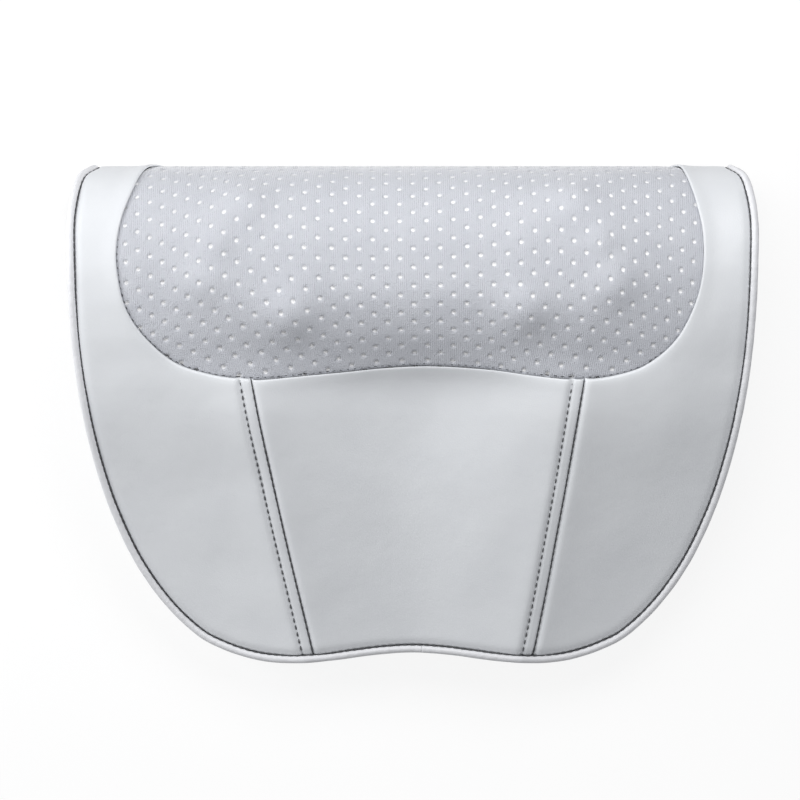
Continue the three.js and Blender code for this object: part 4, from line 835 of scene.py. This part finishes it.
# Mesh panel: the lattice's quads outside the eyelets, and in each eyelet a ring of quads down to a sunk fan
def makeMesh(name, material, node):
    clothX, arc, centre = meshLattice()
    x, arc = drapeCloth(clothX, arc)
    flat = np.stack([x, runOfArc(arc)], -1).reshape(-1, 2)
    index = np.arange(x.size).reshape(x.shape)
    cj, ci = np.nonzero(centre[1:-1, 1:-1])
    cj, ci = cj + 1, ci + 1
    around = [(-1, -1), (-1, 0), (-1, 1), (0, 1), (1, 1), (1, 0), (1, -1), (0, -1)]
    outerRing = np.stack([index[cj + a, ci + b] for a, b in around], -1)
    middle = index[cj, ci]
    inner = lerp(flat[middle][:, None], flat[outerRing], mesh["innerShare"])
    innerRing = x.size + np.arange(len(middle) * 8).reshape(-1, 8)
    grid = np.vstack([flat, inner.reshape(-1, 2)])
    sunk = np.zeros(len(grid))
    sunk[middle] = 1
    sunk[innerRing.ravel()] = mesh["innerSink"]
    outside = outsideWindow(grid)
    lift = meshLift(grid[:, 0], grid[:, 1], outside)
    points = sheetAt(grid[:, 0], grid[:, 1], lift - mesh["eyeletDepth"] * sunk)
    inBlock = np.zeros((mesh["rows"], mesh["columns"]), bool)
    for a, b in ((-1, -1), (-1, 0), (0, -1), (0, 0)):
        inBlock[cj + a, ci + b] = True
    quads = gridFaces(*x.shape)[~inBlock.ravel()]
    nextOuter, nextInner = np.roll(outerRing, -1, axis=1), np.roll(innerRing, -1, axis=1)
    rings = np.stack([outerRing, nextOuter, nextInner, innerRing], -1).reshape(-1, 4)
    fans = np.stack([innerRing, nextInner, np.repeat(middle[:, None], 8, 1)], -1).reshape(-1, 3)
    keep = outside < mesh["overlap"]
    faceSets = [faces[keep[faces].all(1)] for faces in (quads, rings, fans)]
    used = np.zeros(len(grid), bool)
    for faces in faceSets:
        used[faces.ravel()] = True
    renumber = np.cumsum(used) - 1
    clothX = np.concatenate([clothX.ravel(), clothX.ravel()[middle].repeat(8)])
    piece = makePiece(name, points[used], [outward(points[used], renumber[faces]) for faces in faceSets], material,
                      uv=grid[used], slot="mesh_cloth",
                      values={"eyelet": (sunk > 0)[used], "ribPhase": (clothX + lift * mesh["ribSway"])[used]})
    thicken(piece, mesh["thickness"])
    declareSheet(faceArea(piece), node)


# Knit: ribs as the sine of the piece's own rib phase, with painted shade that darkens the colour in each rib's groove,
# a fine stitch over them, and paler eyelets
def makeMeshCloth(name):
    material, tree, shader = nodeMaterial(name, mesh["colour"], 0.85, Sheen_Weight=0.7, Sheen_Roughness=0.4)
    coords = objectCoords(tree)
    phase, eyelet = (addNode(tree, "ShaderNodeAttribute", attribute_name=word).outputs["Fac"]
                     for word in ("ribPhase", "eyelet"))
    rib = mathNode(tree, "SINE", mathNode(tree, "MULTIPLY", phase, 2 * math.pi / mesh["ribPitch"]))
    # Painted shade: the colour is scaled down to 0.96 in each rib's groove and up to 1.01 on its crest, in step with
    # the rib bump
    paintedRibShade = addNode(tree, "ShaderNodeMapRange", {"Value": rib, "From Min": -1.0, "To Min": 0.96, "To Max": 1.01})
    ribbed = addNode(tree, "ShaderNodeVectorMath", {"Scale": paintedRibShade.outputs[0]}, operation="SCALE")
    mottle(tree, ribbed.inputs[0], coords, mesh["colour"], mesh["shade"], 60.0, 4.0, 0.3, 0.7)
    mix = addNode(tree, "ShaderNodeMix", {6: ribbed.outputs[0], 7: (*mesh["eyelet"], 1)}, data_type="RGBA")
    tree.links.new(eyelet, mix.inputs["Factor"])
    tree.links.new(mix.outputs[2], shader.inputs["Base Color"])
    addBumps(tree, shader, [(rib, mesh["ribDepth"]), (addPattern(tree, coords, "cells", 1300), 0.0002)])
    return material


meshCloth = makeMeshCloth("meshCloth")
makeMesh("mesh_cloth_panel", meshCloth, "mesh_panel")
print("mesh panel made")

# Lining under the mesh: a soft brushed layer that follows it
lining = {
    "depth": 0.0034, "thickness": 0.0016, "columns": 120, "rows": 70, "low": 0.0246, "high": 0.198,
    "widestRun": 0.088, "lowerSpan": 0.0636, "upperSpan": 0.11, "halfWidth": 0.157, "narrowing": 0.029,
    "narrowPower": 1.3, "roundness": 3.5, "least": 0.02, "rise": 0.007, "riseWidth": 0.048,
}


# Half width: a superellipse below its widest run, and a slow narrowing above it. The middle of the lower edge rises
def makeLining(name, node):
    v = np.linspace(0, 1, lining["rows"])
    run = lerp(lining["low"], lining["high"], v)
    past = run - lining["widestRun"]
    n = lining["roundness"]
    lower = lining["halfWidth"] * (1 - np.clip(-past / lining["lowerSpan"], 0, 1) ** n) ** (1 / n)
    narrowed = np.clip(past / lining["upperSpan"], 0, 1) ** lining["narrowPower"]
    upper = lining["halfWidth"] - lining["narrowing"] * narrowed
    wide = np.maximum(np.where(past < 0, lower, upper), lining["least"])
    x = wide[:, None] * np.linspace(-1, 1, lining["columns"])[None]
    run = run[:, None] + lining["rise"] * bell(x, lining["riseWidth"]) * (1 - v[:, None])
    grid = np.stack([x, run], -1)
    points = sheetAt(x, run, meshLift(x, run, outsideWindow(grid)) - lining["depth"])
    faces = outward(points, gridFaces(*x.shape))
    piece = makePiece(name, points, faces, liningCloth, uv=grid, slot="lining")
    thicken(piece, lining["thickness"])
    declareSheet(faceArea(piece), node)


makeLining("mesh_lining", "mesh_liner")
print("lining made")

# Piping round the front: a corded tube from the roll's rear, down each side and along the bottom
piping = {
    "radius": 0.002, "inset": 0.0019, "sink": 0.0012, "endAngle": 141, "sides": 22, "steps": 520, "joinX": 0.0052,
    "wobble": 0.00006, "wobbleLength": 0.018, "taper": 0.5, "taperLength": 0.012,
}


# Path on the sheet: the side edge and the bottom edge with their corner rounded, at even steps, sunk a little
def pipingPath(hand):
    side = sideLine(hand, piping["endAngle"], piping["inset"], 400)
    xs = np.linspace(side[-1, 0], piping["joinX"], 300)[1:]
    plan = np.vstack([side, np.stack([xs, bottomPlan(np.abs(xs), piping["inset"])], -1)])
    settle(plan, 30)
    plan = resample(plan, np.linspace(0, 1, piping["steps"]))
    return sheetAt(plan[:, 0], plan[:, 1], np.full(len(plan), -piping["sink"])), plan


for hand, name in ((-1, "piping_left"), (1, "piping_right")):
    path, plan = pipingPath(hand)
    along = np.linspace(0, lengthsAlong(path)[-1], len(path))
    radius = piping["radius"] + piping["wobble"] * ripple(along, np.zeros_like(along), piping["wobbleLength"], 3 + hand)
    radius = radius * (1 - piping["taper"] * np.clip(1 - along / piping["taperLength"], 0, 1) ** 2)
    piece = closedTube(name, path, radius, piping["sides"], sheetNormal(plan[:, 0], plan[:, 1]), pipingLeather,
                       slot="piping")
    if hand < 0:
        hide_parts("front_piping")
print("piping made")


# Small round bars, each from a start to an end, arched up between them by 1 - (2t - 1) squared
def makeBars(name, starts, ends, upward, radius, rise, material, slot, rings=5, sides=6):
    t = np.linspace(0, 1, rings)
    arch = 1 - (2 * t - 1) ** 2
    tangent = ends - starts
    tangent = tangent / np.linalg.norm(tangent, axis=1, keepdims=True)
    ring, up = circlesRound(tangent, upward, sides)
    centre = starts[:, None] + (ends - starts)[:, None] * t[None, :, None]
    centre = centre + up[:, None] * ((arch - 0.45) * rise)[None, :, None]
    size = radius * (0.4 + 0.6 * np.sqrt(arch))
    points = (centre[:, :, None] + ring[:, None] * size[None, :, None, None]).reshape(-1, 3)
    shift = rings * sides * np.arange(len(starts))[:, None, None]
    quads = (gridFaces(rings, sides, ringed=True)[None] + shift).reshape(-1, 4)
    around = np.arange(sides)
    caps = (np.stack([around[::-1], (rings - 1) * sides + around])[None] + shift).reshape(-1, sides)
    corners = points[quads[0]]
    return makePiece(name, points, turnedTo([quads, caps], corners, corners[0] - centre[0, 0]), material, slot=slot)


# Stitches: bars set one after another along a path on the sheet, sunk into the leather at both ends
stitch = {
    "pitch": 0.004, "radius": 0.00038, "rise": 0.0005, "short": 0.0027, "long": 0.0035, "seamEnd": 0.0192,
    "grooveInset": 0.0003, "grooveAngle": 126, "hemOut": 0.0005, "hemLeft": 0.1, "hemRight": 0.035, "sunk": 0.0011,
}


def makeStitches(name, plan, lift, length, radius=stitch["radius"], pitch=stitch["pitch"]):
    path, normals = sheetAt(*plan.T, lift), sheetNormal(*plan.T)
    along = lengthsAlong(path)
    count = int(along[-1] / pitch)
    at = (np.arange(count) + 0.5) * along[-1] / count
    places = [
        np.stack([np.interp(at + shift, along, values[:, k]) for k in range(3)], -1)
        for values, shift in ((path, -length / 2), (path, length / 2), (normals, 0))]
    makeBars(name, *places, radius, stitch["rise"], greyThread, "lining")


# The line of stitches at a distance across a seam
def seamStitches(name, hand, across, depth, length, **options):
    ys = np.linspace(stitch["seamEnd"], seamBottomY(hand, cover["edgeInset"]) + 0.0015, 240)
    plan = np.stack([follow(seams[hand], ys) + across / seams["slant"], ys], -1)
    lift = borderLift(*plan.T, nearest(plan, windowCurve)[0]) - depth
    makeStitches(name, plan, lift, length, **options)


jointAt = seams["jointAt"]
seamStitches("stitches_left_outer", -1, -jointAt, 0.0006, stitch["short"])
seamStitches("stitches_left_inner", -1, jointAt, 0.0008, stitch["long"], radius=0.00042)
seamStitches("stitches_right_inner", 1, -jointAt, 0.0006, stitch["short"])
seamStitches("stitches_right_outer", 1, jointAt, 0.0008, 0.0033, radius=0.00042)

# Stitches in the groove beside the piping, and along the window's edge
grooveInset = cover["edgeInset"] - stitch["grooveInset"]
groove = np.vstack([edgeCurve(grooveInset, -1), edgeCurve(grooveInset, 1)[::-1][1:]])
groove = resample(groove, np.linspace(0, 1, 2400))
groove = groove[groove[:, 1] < runAt(math.radians(stitch["grooveAngle"]))]
makeStitches("stitches_edge", groove, np.full(len(groove), -stitch["sunk"]), 0.0036, 0.00045)
hem = windowCurve + stitch["hemOut"] * pathTangents(windowCurve)[:, ::-1] * (-1, 1)
hem = hem[windowCurve[:, 1] < np.where(windowCurve[:, 0] < 0, stitch["hemLeft"], stitch["hemRight"])]
makeStitches("stitches_window", hem, borderLift(*hem.T, 0) - stitch["sunk"], 0.0034, 0.00034, 0.0038)
print("stitches made")

# Side walls: leather round the pillow's side and bottom edge, drawn in between its two edges
wall = {
    "thickness": 0.0014, "inset": 0.0014, "drawIn": 0.0035, "topY": 0.1332, "backClear": 0.0019,
    "frontClear": 0.0040, "across": 26, "along": 420, "middleGap": 0.00015, "sideShare": 0.62, "spacing": 1.15,
}


# Heights of a wall's two edges: those of the rear and the front, each cleared square to its slope
def wallHeights(x, y, frontClear):
    low = backZ(y) + wall["backClear"] * np.hypot(1, slopeOf(backZ, y))
    slope = slopeOf(lambda at: frontEdgeZ(x, at), y)
    return low, frontEdgeZ(x, y) - frontClear * np.hypot(1, slope)


# Grid of a wall: along the side edge to the corner, then along the bottom edge, drawn in by a parabola in its band
def wallGrid(hand):
    v, band = np.meshgrid(np.linspace(0, 1, wall["along"]), np.linspace(0, 1, wall["across"]), indexing="ij")
    drawn = wall["inset"] + wall["drawIn"] * 4 * band * (1 - band)
    cornerX, cornerY = np.stack([cornerPlan(inset) for inset in drawn[0]]).T[:, None]
    sideShare = wall["sideShare"]
    sideY = lerp(wall["topY"], cornerY, np.clip(v / sideShare, 0, 1) ** wall["spacing"])
    bottomX = lerp(cornerX, wall["middleGap"], np.clip((v - sideShare) / (1 - sideShare), 0, 1))
    x = np.where(v < sideShare, sidePlan(sideY, drawn), bottomX)
    y = np.where(v < sideShare, sideY, bottomPlan(bottomX, drawn))
    settle(x, 12)
    settle(y, 12)
    return np.stack([hand * x, y, lerp(*wallHeights(x, y, wall["frontClear"]), band)], -1)


for hand, side in ((-1, "left"), (1, "right")):
    points = wallGrid(hand)
    along = lengthsAlong(points[:, 0])
    piece = makePiece(f"wall_{side}", points, outward(points, gridFaces(*points.shape[:2]), (0, 0, 0.04)),
                      coverLeather, slot="leather",
                      uv=np.stack([np.broadcast_to(along[:, None], points.shape[:2]), points[..., 2]], -1))
    thicken(piece, wall["thickness"])
    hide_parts(f"side_wall_{side}")
print("side walls made")

# Back panel: a woven cloth over the flat rear and up the roll as far as the zip
back = {"thickness": 0.0014, "inset": 0.0016, "startAngle": 141.5, "columns": 150, "rollRows": 26, "flatRows": 60,
        "lowRows": 44, "lowY": -0.1}


# Upper rows lie on the roll and the flat rear. Lower rows move from a level line to the bottom edge, and their
# ends keep to the side edge
def makeBack(name, node):
    turns = np.radians(np.linspace(back["startAngle"], 180, back["rollRows"]))
    flatY = np.linspace(apexY, back["lowY"], back["flatRows"])[1:]
    u = np.linspace(-1, 1, back["columns"])
    rollRows = rollPoint(np.zeros(len(turns)), turns)
    y = np.concatenate([rollRows[:, 1], flatY])[:, None]
    z = np.concatenate([rollRows[:, 2], np.zeros(len(flatY))])[:, None]
    upper = np.stack(np.broadcast_arrays(sidePlan(y, back["inset"]) * u, y, z), -1)
    cornerX, cornerY = cornerPlan(back["inset"])
    share = np.linspace(0, 1, back["lowRows"])[1:, None]
    rowY = lerp(back["lowY"], cornerY, share)
    edgeY = lerp(back["lowY"], bottomPlan(np.abs(cornerX * u), back["inset"]), share)
    y = lerp(rowY, edgeY, np.clip(1 - np.abs(u) ** 8, 0, 1))
    lower = np.stack([sidePlan(rowY, back["inset"]) * u, y, np.zeros_like(y)], -1)
    points = np.vstack([upper, lower])
    faces = outward(points, gridFaces(*points.shape[:2]), (0, 0.03, 0.05))
    piece = makePiece(name, points, faces, backCloth, uv=points[..., :2], slot="back_cloth")
    thicken(piece, back["thickness"])
    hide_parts(node)


makeBack("back_cloth_panel", "back_panel")
print("back made")

# Zip behind the roll: tape, coil teeth, slider and pull
fastener = {
    "tapeInset": 0.0036, "tapeAngles": (127, 141.3), "tapeThickness": 0.001, "angle": 134.5, "chainHalf": 0.152,
    "toothPitch": 0.0016, "toothReach": 0.0024, "toothOverlap": 0.0005, "toothRadius": 0.00052,
    "toothHeight": 0.0011, "toothRise": 0.0003,
    "sliderX": 0.144, "sliderHalf": (0.0054, 0.0041), "sliderHeights": (0.0004, 0.0037), "sliderFillet": 0.0011,
    "sliderCrown": 0.0003, "sliderFlare": 30, "loopHalf": 0.002, "loopTop": 0.0065, "loopRadius": 0.0006,
    "pullPivotZ": 0.0048, "pullHalf": (0.0105, 0.0031), "pullThickness": 0.0006, "pullMiddle": -0.0145,
    "eyeStart": -0.0055, "eyeBend": 0.0016, "eyeHalf": 0.0021, "eyeRadius": 0.0005,
}
zipTurn = math.radians(fastener["angle"])
zipOrigin = rollPoint(0.0, zipTurn)
zipNormal = sheetNormal(0.0, runAt(zipTurn))
zipAxes = np.array([[1, 0, 0], [0, zipNormal[2], -zipNormal[1]], zipNormal])


# Tape: the sheet between two angles on the roll, from side edge to side edge
def makeTape(name, node):
    u, turn = np.meshgrid(np.linspace(-1, 1, 180), np.radians(np.linspace(*fastener["tapeAngles"], 14)))
    x = u * sidePlan(planY(runAt(turn)), fastener["tapeInset"])
    grid = np.stack([x, runAt(turn)], -1)
    points = sheetPoint(x, runAt(turn))
    piece = makePiece(name, points, outward(points, gridFaces(*x.shape), (0, 0.09, 0.05)), zipTapeCloth, uv=grid,
                      slot="zip_tape")
    thicken(piece, fastener["tapeThickness"])
    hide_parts(node)


# Zip frame: along the chain, across it, and out from the tape
def zipPlace(along, across, out):
    return zipOrigin + np.stack(np.broadcast_arrays(along, across, out), -1) @ zipAxes


# Chain: teeth from both sides in turn, each a bar from just past the middle out to its tape
def makeChain(name, node):
    toothAt = (np.arange(int(2 * fastener["chainHalf"] / fastener["toothPitch"])) + 0.5) * fastener["toothPitch"]
    toothAt = toothAt - fastener["chainHalf"]
    teeth = np.concatenate([toothAt, toothAt + fastener["toothPitch"] / 2])
    side = np.repeat([-1.0, 1.0], len(toothAt))
    starts = zipPlace(teeth, side * -fastener["toothOverlap"], fastener["toothHeight"])
    ends = zipPlace(teeth, side * fastener["toothReach"], fastener["toothHeight"])
    chain = makeBars(name, starts, ends, np.broadcast_to(zipNormal, starts.shape), fastener["toothRadius"],
                     fastener["toothRise"], zipPlastic, "zip_teeth")
    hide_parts(node)


makeTape("zip_tape_cloth", "zip_tape")
makeChain("zip_teeth", "zip_chain")


# Rounded pad: rings of a superellipse, each drawn in and raised by the profile, then shrunk to the middle
def makePad(name, half, squareness, profile, crown, place, material, around=48, rings=6, **options):
    turn = np.linspace(0, 2 * math.pi, around, endpoint=False)
    shapeU, shapeV = (np.sign(wave) * np.abs(wave) ** (2 / squareness) for wave in (np.cos(turn), np.sin(turn)))
    inset, height = np.array(profile).T[:, :, None]
    u = shapeU * (half[0] - inset)
    v = shapeV * (half[1] - inset)
    shrink = np.linspace(1, 0, rings + 1)[1:-1, None]
    h = np.vstack([height, height[-1] + crown * (1 - shrink ** 2)])
    u = np.vstack([u, u[-1:] * shrink])
    v = np.vstack([v, v[-1:] * shrink])
    peak, base = (place(0.0, 0.0, level).reshape(1, 3) for level in (height[-1, 0] + crown, height[0, 0]))
    points = np.vstack([place(u, v, np.broadcast_to(h, u.shape)).reshape(-1, 3), peak, base])
    ids = np.arange(around)
    last = (len(u) - 1) * around
    top = np.stack([last + ids, last + (ids + 1) % around, np.full(around, len(points) - 2)], -1)
    bottom = np.stack([(ids + 1) % around, ids, np.full(around, len(points) - 1)], -1)
    quads = gridFaces(len(u), around, ringed=True)
    faceSets = turnedTo([quads, top, bottom], points[top[0]], points[-2] - points[-1])
    return makePiece(name, points, faceSets, material, **options)


# Profile of a pad's side as (inset, height): a small chamfer below and a quarter circle above
def filletProfile(low, high, radius, under=0.0003, steps=6):
    turn = np.linspace(0, math.pi / 2, steps)
    return [(under, low), (0, low + under)] + [
        (radius * (1 - math.cos(a)), high - radius + radius * math.sin(a)) for a in turn]


low, high = fastener["sliderHeights"]
sliderX, flare = fastener["sliderX"], fastener["sliderFlare"]
slider = makePad("zip_slider_body", fastener["sliderHalf"], 3.2, filletProfile(low, high, fastener["sliderFillet"]),
                 fastener["sliderCrown"], lambda u, v, h: zipPlace(sliderX + u, v * (1 + flare * np.asarray(u)), h),
                 zipMetal, body="slider", slot="zip_metal")
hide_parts("zip_slider")
turn = np.linspace(0, math.pi, 26)
loopOut = high - 0.0004 + (fastener["loopTop"] - high) * np.sin(turn) ** 0.6
closedTube("zip_slider_loop", zipPlace(sliderX - fastener["loopHalf"] * np.cos(turn), 0.0, loopOut),
           fastener["loopRadius"], 12, np.array([0, zipAxes[1][1], zipAxes[1][2]]), zipMetal, body="slider",
           slot="zip_metal")

thick, pivot = fastener["pullThickness"], fastener["pullPivotZ"]
pull = makePad("zip_pull_tab", fastener["pullHalf"], 3.6, filletProfile(-thick, thick, 0.0004), -0.0001,
               lambda u, v, h: zipPlace(sliderX + fastener["pullMiddle"] + u, v, pivot + h),
               zipMetal, body="pull_tab", slot="zip_metal")
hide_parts("zip_pull")
turn = np.linspace(-math.pi / 2, math.pi / 2, 22)
bend, half = fastener["eyeBend"], fastener["eyeHalf"]
eye = np.stack([-bend + bend * np.cos(turn), half * np.sin(turn)], -1)
eye = smoothPath(np.vstack([[fastener["eyeStart"], -half], eye, [fastener["eyeStart"], half]]), 3)
closedTube("zip_pull_eye", zipPlace(sliderX + eye[:, 0], eye[:, 1], pivot), fastener["eyeRadius"], 10,
           zipNormal, zipMetal, body="pull_tab", slot="zip_metal")
print("zip made")

# Controls on the right-hand wall: buttons with plain marks, on the solids' own plate
control = {
    "y": -0.306, "frontClear": 0.0045, "spacing": 0.013, "radius": 0.0057, "under": 0.0014, "proud": 0.0028,
    "fillet": 0.0009, "markRadius": 0.0017, "markTurn": (130, 410), "markBar": (0.0004, 0.0024),
    "markThick": 0.00024, "waveHalf": 0.0018, "waveSide": 0.0003, "waveStep": 0.0014,
}


# Frame on the wall at a height in plan: its drawn-in middle, the way out, and the way along it
def wallFrame(y):
    x = float(edgeX(y))
    low, high = wallHeights(x, y, control["frontClear"])
    turn = -math.atan(float(slopeOf(edgeX, y)))
    out = np.array([math.cos(turn), math.sin(turn), 0])
    place = [float(sidePlan(y, wall["inset"] + wall["drawIn"])), y, float(low + high) / 2]
    return np.array(place), out, np.array([-out[1], out[0], 0])


controlOrigin, controlOut, controlAlong = wallFrame(control["y"] * form["halfHeight"])


# Control frame: along the wall, up it, and out from it
def controlPlace(along, up, out):
    axes = np.array([controlAlong, [0, 0, 1], controlOut])
    return controlOrigin + np.stack(np.broadcast_arrays(along, up, out), -1) @ axes


turn = np.radians(np.linspace(*control["markTurn"], 40))
rise = np.linspace(-control["waveHalf"], control["waveHalf"], 24)
wave = control["waveSide"] * np.sin(rise / control["waveHalf"] * math.pi)
marks = {
    "power": [(control["markRadius"] * np.cos(turn), control["markRadius"] * np.sin(turn)),
              (np.zeros(8), np.linspace(*control["markBar"], 8))],
    "heat": [(shift + wave, rise) for shift in (-control["waveStep"], 0, control["waveStep"])],
}
for name, side in (("power", -1), ("heat", 1)):
    middle = side * control["spacing"]
    options = {"body": f"{name}_key", "slot": "button_plastic"}
    profile = filletProfile(control["under"], control["proud"], control["fillet"])
    cap = makePad(f"{name}_button_cap", (control["radius"],) * 2, 2, profile, 0.0,
                  lambda u, v, h: controlPlace(middle + u, v, h), buttonPlastic, **options)
    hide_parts(f"{name}_button")
    for k, (u, v) in enumerate(marks[name]):
        closedTube(f"{name}_mark_{k + 1}", controlPlace(middle + u, v, control["proud"]), control["markThick"], 8,
                   controlOut, markPlastic, **options)
print("controls made")

# Foam: each block is swelled by the cloth solver inside its cover, from a slightly smaller start
foam = {"weld": 0.00001, "voxel": 0.006, "shrink": 0.0012, "pressure": 4.0, "frames": 20, "cap": 0.0018}


# One vector for each point of a mesh: its place or its normal
def vectorsOf(shell, word="co"):
    values = np.empty(len(shell.vertices) * 3)
    shell.vertices.foreach_get(word, values)
    return values.reshape(-1, 3)


# The mesh that a piece's modifiers make of it
def evaluated(piece):
    return piece.evaluated_get(bpy.context.evaluated_depsgraph_get())


# Block: the solid remeshed in voxels and moved in along its normals, then blown up by pressure, with the move
# of each point cut to the cap
def makeFoam(name, node):
    piece = bpy.data.objects.new(name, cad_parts[node].data.copy())
    bpy.context.scene.collection.objects.link(piece)
    piece.modifiers.new("weld", "WELD").merge_threshold = foam["weld"]
    remesh = piece.modifiers.new("remesh", "REMESH")
    remesh.mode = "VOXEL"
    remesh.voxel_size = foam["voxel"]
    piece.data = bpy.data.meshes.new_from_object(evaluated(piece))
    piece.modifiers.clear()
    start = vectorsOf(piece.data) - vectorsOf(piece.data, "normal") * foam["shrink"]
    piece.data.vertices.foreach_set("co", start.ravel())
    cloth = piece.modifiers.new("cloth", "CLOTH")
    cloth.settings.use_pressure = True
    cloth.settings.uniform_pressure_force = foam["pressure"]
    cloth.settings.effector_weights.gravity = 0
    cloth.point_cache.frame_end = foam["frames"]
    for number in range(1, foam["frames"] + 1):
        bpy.context.scene.frame_set(number)
    move = vectorsOf(evaluated(piece).data) - start
    piece.modifiers.clear()
    bpy.context.scene.frame_set(1)
    far = np.linalg.norm(move, axis=1, keepdims=True)
    move = move * np.minimum(1, foam["cap"] / np.maximum(far, 1e-9))
    piece.data.vertices.foreach_set("co", (start + move).ravel())
    piece.data.polygons.foreach_set("use_smooth", np.ones(len(piece.data.polygons), bool))
    piece.data.materials.clear()
    piece.data.materials.append(foamCells)
    smooth = piece.modifiers.new("smooth", "SUBSURF")
    smooth.levels = smooth.render_levels = 1
    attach(piece, "pillow")
    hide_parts(node)


for node in ("foam_lower", "foam_left", "foam_right", "foam_back"):
    makeFoam(f"{node}_block", node)
print("foam made")

# Finishes for the solids, by words in their names: the mechanism, heater, boards, plate, inlet and lead stay
finishes = [
    (("worm_wheel", "carrier", "shaft_bearing"), whitePlastic), (("left_worm", "right_worm", "bush"), brass),
    (("rotor_shaft", "drive_shaft", "motor", "screw", "inlet_pin"), steel), (("head_",), headPlastic),
    (("mechanism", "control_plate", "inlet_shell"), blackPlastic), (("lens",), lens), (("board",), circuitBoard),
    (("inlet_lead",), leadSheath), (("mesh_liner",), liningCloth), (("foam",), foamCells),
    (("button",), buttonPlastic), (("slider", "zip_pull"), zipMetal), (("zip_tape",), zipTapeCloth),
    (("zip_chain",), zipPlastic), (("piping",), pipingLeather), (("back_panel",), backCloth),
    (("mesh_panel",), meshCloth), (("cover_", "side_wall"), coverLeather),
]
for node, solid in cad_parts.items():
    finish = next(look for words, look in finishes if any(word in node for word in words))
    for held in solid.material_slots:
        held.material = finish
    if not solid.material_slots:
        solid.data.materials.append(finish)
print("solids finished")

# Camera, lights and floor
studio = {
    "lens": 1200, "sensor": 36, "scale": 0.0005515, "pixels": 800, "clipEnd": 40, "aimX": -0.0069, "aimY": 0.0083,
    "levelZ": 0.055, "worldLight": 0.28, "worldTone": (0.97, 0.98, 1, 1), "aimZ": 0.03,
    "sidePower": 3.25, "sideSize": 0.4, "sideAt": (-0.72, 0.16, 0.34),
    "topPower": 2.42, "topSize": 0.45, "topAt": (0.07, 0.3, 0.56),
    "floorHalf": 4, "floorZ": -0.0003, "floorShare": 0.84, "floorGlow": 1.04,
}


# A round area lamp, turned to the pillow's middle and unseen by the camera
def addLamp(name, place, power, size):
    light = bpy.data.lights.new(name, "AREA")
    light.energy = power
    light.size = size
    light.shape = "DISK"
    lamp = bpy.data.objects.new(name, light)
    lamp.location = place
    lamp.visible_camera = False
    bpy.context.scene.collection.objects.link(lamp)
    toward = Vector((0, 0, studio["aimZ"])) - lamp.location
    lamp.rotation_euler = toward.to_track_quat("-Z", "Y").to_euler()


# 1 where the camera sees a surface, directly or in a mirror or a glass, and 0 for its light on other things
def seenDirectly(tree):
    path = addNode(tree, "ShaderNodeLightPath")
    seen = mathNode(tree, "MAXIMUM", path.outputs["Is Camera Ray"], path.outputs["Is Glossy Ray"])
    return mathNode(tree, "MAXIMUM", seen, path.outputs["Is Transmission Ray"])


scene = bpy.context.scene
scene.view_settings.view_transform = "Standard"
view = bpy.data.cameras.new("view")
view.lens = studio["lens"]
view.sensor_width = studio["sensor"]
view.clip_end = studio["clipEnd"]
camera = bpy.data.objects.new("view", view)
distance = studio["pixels"] * studio["scale"] / studio["sensor"] * studio["lens"]
camera.location = (studio["aimX"], studio["aimY"], studio["levelZ"] + distance)
scene.collection.objects.link(camera)
bpy.context.scene.camera = camera

addLamp("sideLamp", studio["sideAt"], studio["sidePower"], studio["sideSize"])
addLamp("topLamp", studio["topAt"], studio["topPower"], studio["topSize"])

world = bpy.data.worlds.new("studio")
scene.world = world
world.use_nodes = True
tree = world.node_tree
tree.nodes.clear()
light = addNode(tree, "ShaderNodeBackground", {"Color": studio["worldTone"], "Strength": studio["worldLight"]})
white = addNode(tree, "ShaderNodeBackground", {"Color": (1, 1, 1, 1), "Strength": 1.0})
mixed = addNode(tree, "ShaderNodeMixShader", {0: seenDirectly(tree), 1: light.outputs[0], 2: white.outputs[0]})
addNode(tree, "ShaderNodeOutputWorld", {"Surface": mixed.outputs[0]})

# The floor looks white to the camera, with a part of its own shade left so that the shadow stays
floorMaterial, tree, shader = nodeMaterial("floorWhite", (0.86, 0.86, 0.865), 0.6)
share = mathNode(tree, "MULTIPLY", seenDirectly(tree), studio["floorShare"])
glow = addNode(tree, "ShaderNodeEmission", {"Color": (1, 1, 1, 1), "Strength": studio["floorGlow"]})
mixed = addNode(tree, "ShaderNodeMixShader", {0: share, 1: shader.outputs[0], 2: glow.outputs[0]})
tree.links.new(mixed.outputs[0], tree.nodes["Material Output"].inputs["Surface"])
floorMesh = bpy.data.meshes.new("floor")
floorMesh.from_pydata([(x * studio["floorHalf"], y * studio["floorHalf"], studio["floorZ"])
                       for x, y in ((-1, -1), (1, -1), (1, 1), (-1, 1))], [], [(0, 1, 2, 3)])
floor = bpy.data.objects.new("floor", floorMesh)
scene.collection.objects.link(floor)
floorMesh.materials.append(floorMaterial)
print("studio made")
